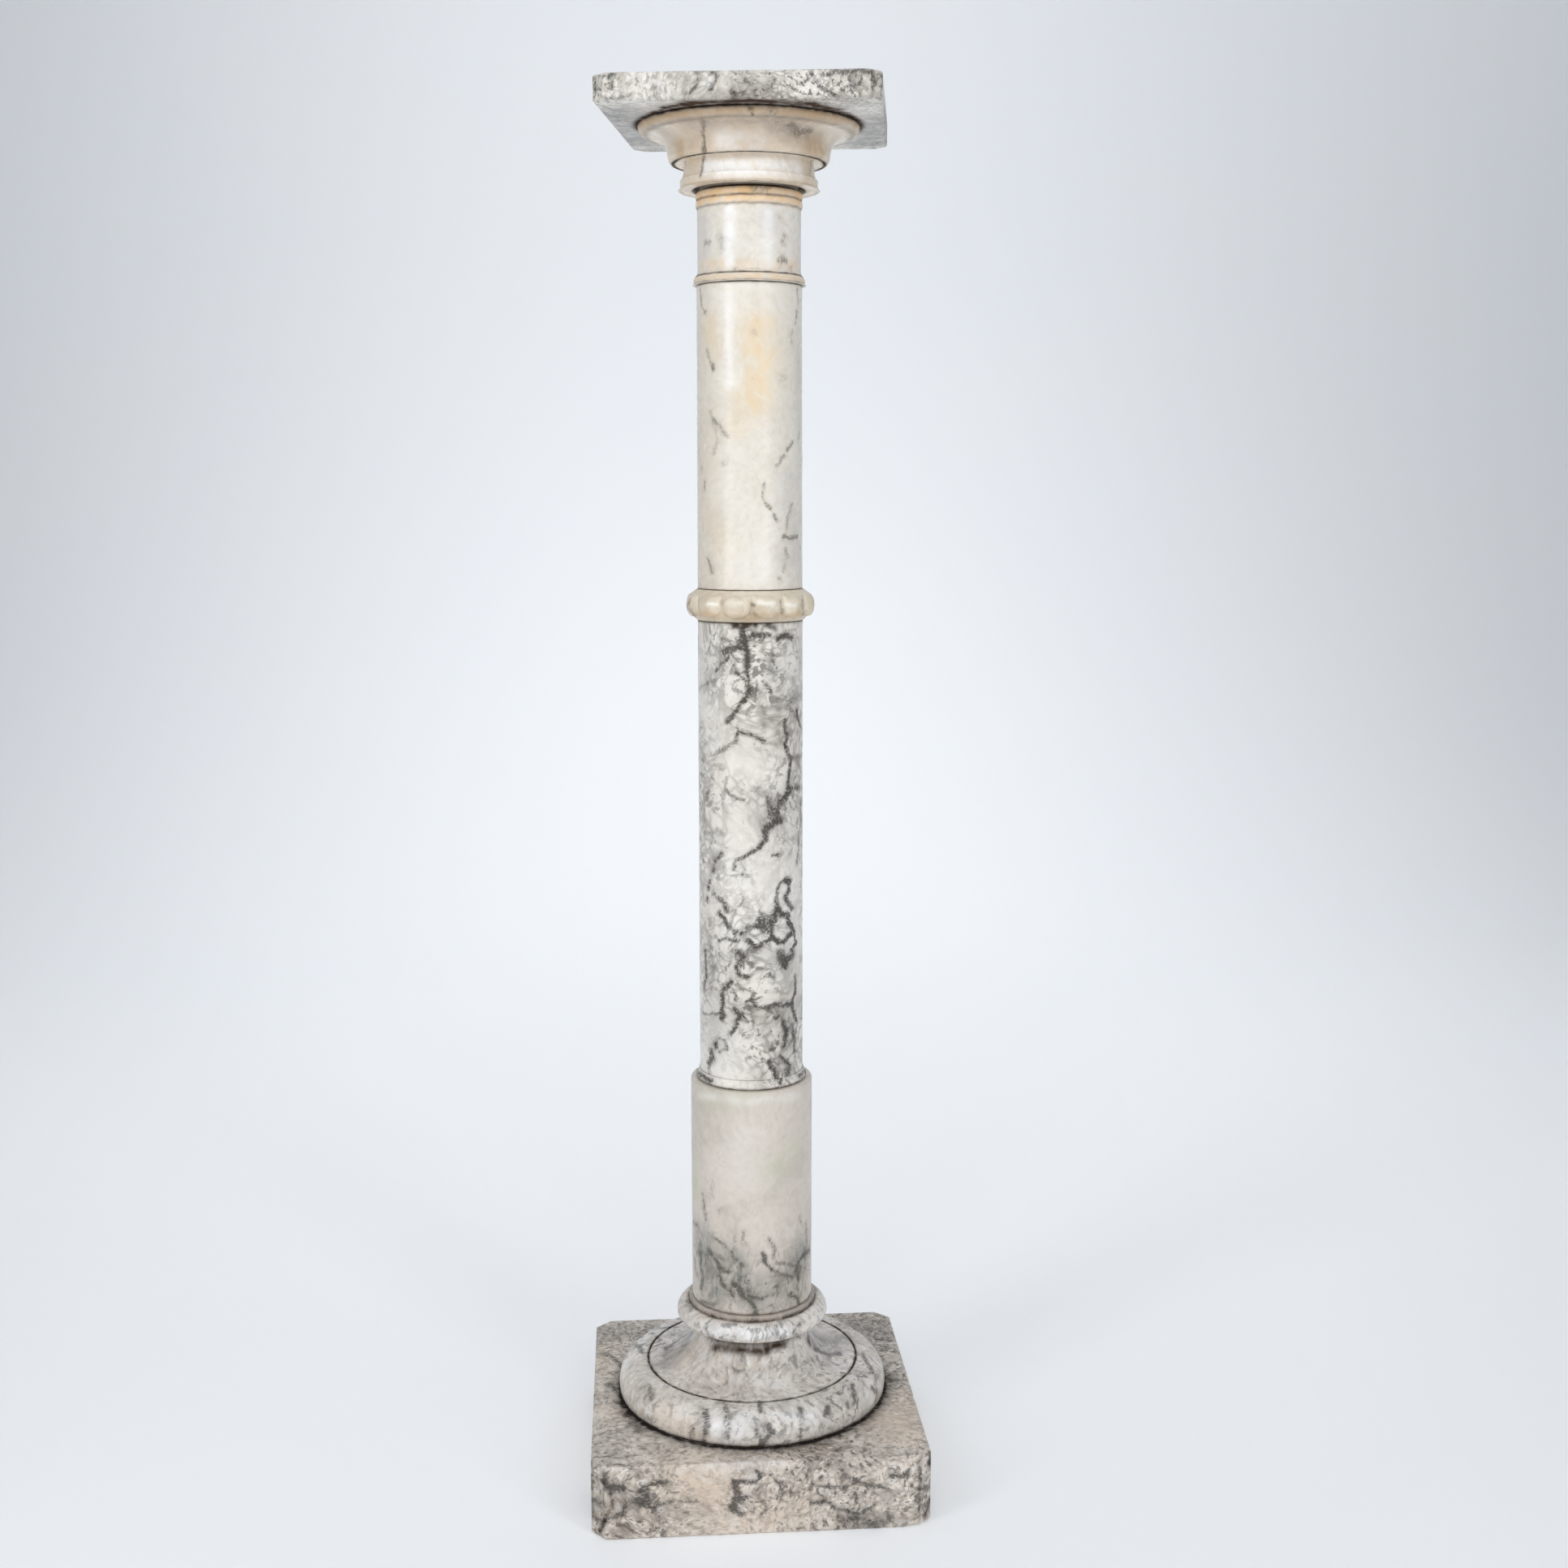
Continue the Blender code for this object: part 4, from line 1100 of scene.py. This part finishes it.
MARKS["lower_shaft", "vein"] = {
    "trunk under the collar": (2.6, 0.85, (917, 772), (916, 782), (918, 793), (921, 803), (921, 823)),
    "trunk's soft side": (5, 0.45, (911, 786), (914, 796), (896, 800)),
    "trunk to the fork": (1.7, 0.6, (921, 823), (923, 840), (925, 854)),
    "loop left of the trunk": (1.8, 0.6, (904, 820), (908, 830), (915, 836), (920, 844),
        (924, 852), (919, 860)),
    "down left from the fork": (2.3, 0.85, (919, 860), (914, 866), (908, 875), (902, 883), (897, 890)),
    "bar right of the collar": (1.8, 0.8, (924, 785), (930, 782), (938, 782), (948, 782)),
    "bar at the right": (2.2, 0.85, (958, 788), (962, 783), (970, 783), (976, 786)),
    "haze under the bar": (4, 0.4, (928, 788), (934, 791), (940, 786)),
    "branch to the left": (2.4, 0.6, (915, 798), (902, 800), (893, 802), (896, 811)),
    "branch's end": (1.6, 0.55, (896, 813), (890, 818), (883, 827)),
    "left streak": (2.2, 0.4, (880, 838), (872, 842), (862, 847)),
    "dots at the top left": (2.4, 0.4, (889, 788), (900, 791)),
    "spot right of the trunk": (1.6, 0.4, (951, 800), (953, 814)),
    "pair, left": (1.5, 0.45, (932, 838), (934, 850)),
    "pair, right": (1.7, 0.6, (941, 838), (945, 845), (950, 852)),
    "grey cloud": (4.5, 0.3, (950, 826), (958, 830), (952, 838)),
    "brown cloud": (5, 0.28, (932, 852), (945, 860), (970, 858), (984, 862)),
    "hook": (1.8, 0.65, (908, 897), (911, 902), (918, 903), (928, 907), (940, 914)),
    "hook's tail": (2.2, 0.5, (909, 905), (905, 914), (896, 921), (888, 925), (880, 930)),
    "right edge, top": (1.8, 0.8, (981, 875), (983, 886), (987, 897)),
    "right edge cloud": (3.2, 0.4, (970, 872), (976, 876), (980, 882)),
    "right trunk, top": (2.3, 0.75, (967, 887), (967, 898), (971, 907), (967, 917), (971, 926)),
    "right trunk, middle": (2.2, 0.75, (972, 930), (974, 937), (973, 948), (971, 958), (971, 973)),
    "right trunk's arm": (1.6, 0.55, (974, 932), (987, 932)),
    "grey drift": (3.2, 0.22, (941, 874), (942, 890), (940, 905), (944, 914), (962, 921)),
    "arm at the right": (2.4, 0.6, (971, 969), (985, 971)),
    "right trunk, bend": (2.5, 0.85, (973, 976), (968, 983), (962, 988), (958, 998), (957, 1009)),
    "knot": (2.6, 0.85, (963, 1011), (957, 1012), (948, 1018)),
    "knot's cloud": (5, 0.5, (950, 1002), (947, 1014), (955, 1008)),
    "ring over the knot": (1.6, 0.5, (947, 983), (948, 994), (957, 998)),
    "veil over the knot": (5, 0.26, (930, 974), (942, 972), (945, 988), (962, 985)),
    "down from the knot": (2.3, 0.85, (947, 1019), (943, 1023), (944, 1034), (940, 1039), (936, 1044)),
    "down left from the knot": (1.6, 0.7, (936, 1044), (928, 1049), (922, 1053), (914, 1057),
        (906, 1060), (905, 1072)),
    "left blot": (3, 0.5, (873, 976), (871, 985)),
    "left middle streak": (1.9, 0.5, (895, 974), (900, 980), (908, 984), (917, 987)),
    "thin bar at the left": (1.3, 0.35, (866, 1026), (880, 1026)),
    "left chain": (2, 0.6, (889, 1053), (883, 1058), (880, 1067), (878, 1074)),
    "left chain's end": (2.4, 0.6, (874, 1086), (872, 1096)),
    "dark dash": (1.9, 0.6, (952, 1054), (961, 1054)),
    "net, level": (1.6, 0.4, (902, 1079), (914, 1079), (924, 1080), (929, 1088)),
    "net, upright": (1.6, 0.35, (914, 1062), (918, 1072), (914, 1079)),
    "right rim dots": (1.6, 0.6, (986, 990), (987, 1005), (986, 1020)),
    "right rim": (2.4, 0.45, (984, 1030), (984, 1048), (982, 1062)),
    "arch": (2, 0.6, (957, 1120), (957, 1096), (963, 1087), (971, 1083)),
    "arch's head": (2.4, 0.9, (968, 1084), (974, 1084)),
    "arch's pillar": (2.4, 0.75, (972, 1088), (972, 1098), (968, 1104), (971, 1113), (976, 1119)),
    "foot of the arch": (2.6, 0.8, (957, 1120), (962, 1126), (970, 1127), (972, 1140)),
    "left slope": (2.4, 0.65, (879, 1101), (887, 1107), (893, 1114), (895, 1123)),
    "left slope, lower": (2.2, 0.8, (886, 1124), (892, 1133), (898, 1142)),
    "left dot": (2.4, 0.55, (872, 1107), (871, 1110)),
    "faint hook": (1.6, 0.4, (902, 1122), (911, 1118), (916, 1109), (912, 1103)),
    "middle smoke": (6, 0.6, (940, 1134), (952, 1132), (944, 1144)),
    "middle band": (2.6, 0.6, (905, 1148), (914, 1150), (922, 1144), (938, 1141)),
    "white oval's left": (2.2, 0.75, (955, 1126), (950, 1140), (951, 1154), (958, 1160)),
    "white oval's foot": (2.2, 0.85, (958, 1160), (966, 1161), (971, 1153), (978, 1150), (975, 1140)),
    "small oval": (1.7, 0.8, (979, 1152), (981, 1162), (974, 1170)),
    "band to the left": (1.8, 0.65, (886, 1158), (898, 1157), (907, 1160), (905, 1150)),
    "middle band, lower": (2.4, 0.75, (921, 1160), (930, 1167), (940, 1163), (949, 1157)),
    "dark patch": (4, 0.65, (908, 1172), (916, 1178), (912, 1188)),
    "patch's tail": (1.9, 0.65, (907, 1192), (907, 1198), (914, 1202), (921, 1203)),
    "left upright": (2.6, 0.65, (869, 1172), (870, 1190), (870, 1205), (868, 1220)),
    "right patch": (4.5, 0.7, (962, 1176), (966, 1188), (976, 1176)),
    "right patch's heart": (2.4, 0.7, (967, 1182), (968, 1192)),
    "dot under the band": (2.2, 0.6, (949, 1200), (953, 1204)),
    "right upright": (2, 0.8, (980, 1203), (980, 1220), (976, 1234), (977, 1246), (981, 1258)),
    "left of the middle": (2.4, 0.75, (901, 1210), (891, 1222), (890, 1238), (889, 1247)),
    "left of the middle, foot": (2.2, 0.85, (892, 1250), (889, 1256)),
    "left level": (1.7, 0.55, (866, 1249), (878, 1249), (890, 1250)),
    "short upright": (1.6, 0.55, (905, 1222), (907, 1232)),
    "chain to the left": (2.2, 0.75, (905, 1243), (912, 1252), (907, 1264), (902, 1273)),
    "dots by the chain": (2, 0.6, (914, 1251), (920, 1257)),
    "arch in the middle": (1.9, 0.65, (918, 1235), (926, 1232), (934, 1242), (946, 1241)),
    "arch to the right": (2, 0.8, (946, 1241), (955, 1237), (966, 1239), (975, 1236)),
    "dark dot": (2.4, 0.7, (955, 1254), (958, 1254)),
    "right lower trunk": (2.6, 0.75, (964, 1262), (970, 1270), (968, 1280), (966, 1287)),
    "right lower side": (2, 0.6, (976, 1262), (979, 1284), (979, 1300)),
    "left dark dot": (2.6, 0.8, (882, 1286), (882, 1289)),
    "ring by the dot": (1.8, 0.45, (884, 1280), (894, 1281), (895, 1292), (886, 1296)),
    "left foot": (3.2, 0.7, (876, 1294), (878, 1302), (873, 1311)),
    "left foot's edge": (2.4, 0.75, (862, 1312), (859, 1320), (866, 1327), (876, 1332)),
    "right foot": (2.6, 0.85, (947, 1309), (954, 1320), (961, 1328), (962, 1334)),
    "right foot's loop": (2, 0.75, (960, 1301), (967, 1306), (973, 1313), (966, 1324)),
    "right rim, foot": (2, 0.65, (991, 1319), (985, 1326)),
    "green streak": (1.8, 0.4, (951, 1284), (949, 1294)),
}
MARKS["lower_shaft", "web"] = {
    "under the collar": (22, 0.6, (925, 795), (935, 840)),
    "middle": (22, 0.45, (960, 990)),
    "lower": (28, 0.85, (930, 1150), (930, 1250), (960, 1290)),
    "left edge": (8, 0.6, (864, 900), (864, 1100)),
    "right edge": (7, 0.55, (988, 900), (988, 1300)),
}
MARKS["lower_shaft", "pale"] = {
    "upper": (13, 0.8, (912, 945), (935, 955)),
    "middle": (12, 0.75, (910, 1005), (912, 1035)),
    "over the band": (10, 0.6, (925, 1115), (938, 1105)),
    "under the band": (10, 0.6, (925, 1210), (938, 1216)),
    "foot": (8, 0.5, (935, 1285)),
}
MARKS["lower_shaft", "cloud_and_shade"] = {
    # The darker left and right edges are painted shade
    "left edge": (7.5, 0.95, (859, 860), (860, 1000), (860, 1310)),
    "right edge": (7.5, 0.9, (990, 860), (991, 1000), (992, 1310)),
    "foot, left": (12, 0.35, (875, 1180), (880, 1290)),
    "foot, right": (12, 0.35, (970, 1180), (972, 1290)),
}
MARKS["lower_shaft", "grime_and_shade"] = {
    # The dark under the collar is painted shade with some grime
    "under the collar": (3, 0.8, (905, 771), (915, 771), (930, 770)),
    "under the collar, right": (2.6, 0.7, (945, 770), (955, 774)),
}

# What is painted all round: the radius and the height of a ring and its width, in mm, and its strength
RINGS = {}
RINGS["top_slab", "pale"] = {
    "worn top": (50, 1101, 45, 0.5),
}
RINGS["top_slab", "grime_and_shade"] = {
    # The dark ring round the capital is painted shadow with some grime
    "round the capital": (85, 1080.2, 3.2, 0.9),
}
RINGS["capital", "stain_and_shade"] = {
    "rim": (84, 1077, 4, 0.85),
}
RINGS["capital", "cloud_and_shade"] = {
    # The band under the rim is painted shade
    "under the rim": (80, 1073, 4.5, 0.6),
    "bell": (70, 1064, 8, 0.28),
}
RINGS["capital", "grime_and_shade"] = {
    # The dark ring at the rim's top and the band under the rim are painted shade with some grime
    "rim": (85, 1080, 1.8, 0.85),
    "under the rim": (79, 1074, 3, 0.3),
    "roll's foot": (58, 1052, 1.7, 0.95),
    # The dark in the seat gap is painted shade
    "seat gap": (40, 1037, 4.4, 1),
    "seat gap's wall": (41.9, 1034.5, 2.2, 1),
}
RINGS["neck", "stain_and_shade"] = {
    "upper bead": (41.3, 1028, 3.4, 0.95),
    "lower bead": (41.3, 1022, 3.4, 0.75),
    "astragal": (43.5, 965, 2.6, 0.5),
}
RINGS["neck", "grime_and_shade"] = {
    # The dark at the seat is painted shade in the gap under the capital
    "seat": (37.5, 1031.6, 3, 1),
    "between the beads": (40.4, 1024.7, 1.1, 0.55),
    "under the beads": (40.4, 1018.4, 1.1, 0.45),
    "over the astragal": (41.6, 968.6, 1, 0.7),
    "joint": (42, 961.7, 1.2, 0.85),
}
RINGS["upper_shaft", "grime_and_shade"] = {
    "top": (40.9, 961.4, 0.8, 0.6),
    "foot": (41.5, 729.7, 0.8, 0.3),
}
RINGS["carved_collar", "stain_and_shade"] = {
    "lower bevel": (45, 707.5, 3, 0.4),
}
RINGS["carved_collar", "grime_and_shade"] = {
    "top": (42.1, 729.4, 0.8, 0.25),
    "foot": (42.3, 704.7, 1, 0.4),
}
RINGS["lower_shaft", "grime_and_shade"] = {
    "top": (41.7, 704.4, 1.2, 0.6),
    "foot": (45.2, 331.2, 1.2, 0.8),
}
RINGS["lower_drum", "grime_and_shade"] = {
    "top": (45.5, 330.8, 1.2, 0.5),
    "foot": (49.8, 143.1, 1.4, 0.7),
}
RINGS["base_moulding", "stain_and_shade"] = {
    "fillet": (52, 141, 3, 0.4),
}
RINGS["base_moulding", "cloud_and_shade"] = {
    "fillet": (52, 141, 2.8, 0.65),
}
RINGS["base_moulding", "grime_and_shade"] = {
    "drum's joint": (50, 142.8, 1.2, 0.5),
    "over the ring": (52.6, 138.7, 1.3, 0.7),
    "fillet": (52, 141, 2.4, 0.3),
    # The dark on the stem under the ring is painted shade with some grime
    "stem": (46.8, 119.5, 4.5, 0.75),
    "cut line": (87.3, 86.4, 1.35, 1),
    # The black line at the torus foot is painted contact shadow with some grime
    "foot": (110.4, 60.8, 2.4, 1),
}
RINGS["plinth", "grime_and_shade"] = {
    # The black ring round the torus is painted contact shadow with some grime; the soft ring outside it is
    # painted shade
    "round the torus": (111, 60.2, 2.6, 1),
    "round the torus, soft": (115, 60.2, 6, 0.35),
}

# Chips: width and depth in mm, at a pixel of the photograph
CHIPS = {
    "plinth": {
        "front right foot": (11, 3.0, (1141, 1874)),
        "front right foot, side": (7, 1.6, (1128, 1880)),
        "right edge": (5, 0.9, (1122, 1720)),
        "front edge": (5, 0.9, (930, 1818)),
        "front edge, left": (6, 1.0, (800, 1824)),
        "left corner": (5, 1.0, (731, 1812)),
        "back right corner": (6, 1.2, (1090, 1620)),
    },
    "top_slab": {
        "left corner": (4, 0.8, (741, 88)),
        "front foot": (4, 0.7, (905, 120)),
        "top edge": (4, 0.6, (960, 86)),
        "right corner": (4, 0.8, (1088, 120)),
    },
    "neck": {"astragal's left end": (4, 1.0, (858, 338))},
    "base_moulding": {"ring's foot": (4, 0.7, (945, 1652))},
    "lower_drum": {"top right": (3, 0.8, (998, 1360))},
}

# How far the corners of each stone are worn round, in mm
WORN = {
    "plinth": 0.6, "base_moulding": 0.6, "lower_drum": 0.5, "lower_shaft": 0.4, "carved_collar": 0.5,
    "upper_shaft": 0.4, "neck": 0.25, "capital": 0.4, "top_slab": 0.6,
}


def build_stones():
    """Makes the nine stones, each in the place of its solid."""
    for name in LOOKS:
        outline, plan = outline_and_plan(name)
        foot = outline[0][1]
        piece = stone(name + "_stone", plan, fine_outline(name, outline))
        if name == "carved_collar":
            carve_lobes(piece, foot)
        if name == "capital":
            hollow_seat(piece, foot)
        weather(piece)
        chip(piece, name)
        paint(piece, name)
        piece.data.materials.append(marble(name))
        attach(piece, "root")
        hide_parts(name)


# Studio: the floor and the wall behind, and the paper's glow round a point near the pedestal
FLOOR_FRONT = -4.0
FLOOR_BACK = 1.6
SWEEP_RADIUS = 1.4
SWEEP_STEPS = 24
WALL_TOP = 4.5
STUDIO_WIDTH = 12.0
PAPER = rgb(242, 244, 246)
PAPER_SHADE = rgb(238, 241, 246)
PAPER_UNEVENNESS = 0.25
PAPER_ROUGHNESS = 0.9
PAPER_GLOW = 0.20
GLOW_CENTRE = (0.1, 1.0, 0.2)
GLOW_NEAR = 0.6
GLOW_FAR = 2.7
SKY = rgb(236, 242, 250)
SKY_STRENGTH = 0.34

# Lights: place, aim, width and height in metres, power in watts and spread of the beam in degrees
MIDDLE = (0.0, 0.0, 0.62)
LIGHTS = {
    "left_softbox": ((-1.12, -0.99, 1.05), MIDDLE, (0.42, 1.6), 7.2, 180),
    "right_softbox": ((0.86, -1.35, 1.05), MIDDLE, (0.40, 1.6), 6.3, 180),
    "front_fill": ((-0.2, -3.0, 2.4), MIDDLE, (2.6, 1.6), 30, 180),
    "overhead": ((0.0, -0.1, 3.3), MIDDLE, (1.6, 1.6), 11, 180),
    "wall_light": ((0.0, 0.7, 2.9), (0.15, 2.5, 0.4), (0.8, 0.8), 8.5, 100),
    "wall_top_light": ((0.7, 1.7, 3.3), (0.7, 3.0, 2.3), (4.5, 0.6), 7, 120),
}


def paper():
    """Pale paper, a little uneven, that glows faintly behind the pedestal."""
    graph = Graph("backdrop_paper")
    tone = graph.pattern("paper", graph.start, 0.0, PAPER_UNEVENNESS)
    graph.plug(graph.shader.inputs["Base Color"], graph.mix(tone, PAPER, PAPER_SHADE))
    graph.shader.inputs["Roughness"].default_value = PAPER_ROUGHNESS
    graph.plug(graph.shader.inputs["Emission Color"], PAPER)
    away = graph.move("DISTANCE", graph.start, GLOW_CENTRE)
    glow = graph.band(away, GLOW_NEAR, GLOW_FAR, PAPER_GLOW, 0.0)
    graph.plug(graph.shader.inputs["Emission Strength"], glow)
    return graph.material


def build_backdrop():
    """A pale floor that sweeps up into the wall behind."""
    line = [(FLOOR_FRONT, 0.0)]
    for step in range(SWEEP_STEPS + 1):
        angle = step / SWEEP_STEPS * math.pi / 2
        line.append((FLOOR_BACK + SWEEP_RADIUS * math.sin(angle), SWEEP_RADIUS * (1 - math.cos(angle))))
    line.append((FLOOR_BACK + SWEEP_RADIUS, WALL_TOP))
    half = STUDIO_WIDTH / 2
    points = [(x, y, z) for y, z in line for x in (-half, half)]
    faces = [(2 * i, 2 * i + 1, 2 * i + 3, 2 * i + 2) for i in range(len(line) - 1)]
    mesh = bpy.data.meshes.new("backdrop")
    mesh.from_pydata(points, [], faces)
    mesh.shade_smooth()
    mesh.materials.append(paper())
    backdrop = bpy.data.objects.new("backdrop", mesh)
    bpy.context.scene.collection.objects.link(backdrop)


def light_studio():
    """Two tall softboxes, a broad fill in front, one light overhead, two on the wall, and a pale sky."""
    for name, (place, aim, size, power, spread) in LIGHTS.items():
        light = bpy.data.lights.new(name, "AREA")
        light.shape = "RECTANGLE"
        light.size = size[0]
        light.size_y = size[1]
        light.energy = power
        light.spread = math.radians(spread)
        lamp = bpy.data.objects.new(name, light)
        lamp.location = place
        lamp.rotation_euler = (Vector(aim) - Vector(place)).to_track_quat("-Z", "Y").to_euler()
        bpy.context.scene.collection.objects.link(lamp)
    world = bpy.data.worlds.new("pale_sky")
    world.use_nodes = True
    background = world.node_tree.nodes["Background"]
    background.inputs["Color"].default_value = (*SKY, 1.0)
    background.inputs["Strength"].default_value = SKY_STRENGTH
    bpy.context.scene.world = world


def place_camera():
    """The camera at the photograph's place and angle."""
    camera = bpy.data.cameras.new("photo_camera")
    camera.lens = LENS
    camera.sensor_width = SENSOR
    holder = bpy.data.objects.new("photo_camera", camera)
    holder.location = CAMERA_PLACE
    holder.rotation_euler = CAMERA_ANGLES
    bpy.context.scene.collection.objects.link(holder)
    bpy.context.scene.camera = holder
    bpy.context.scene.view_settings.view_transform = "Standard"


build_stones()
build_backdrop()
light_studio()
place_camera()
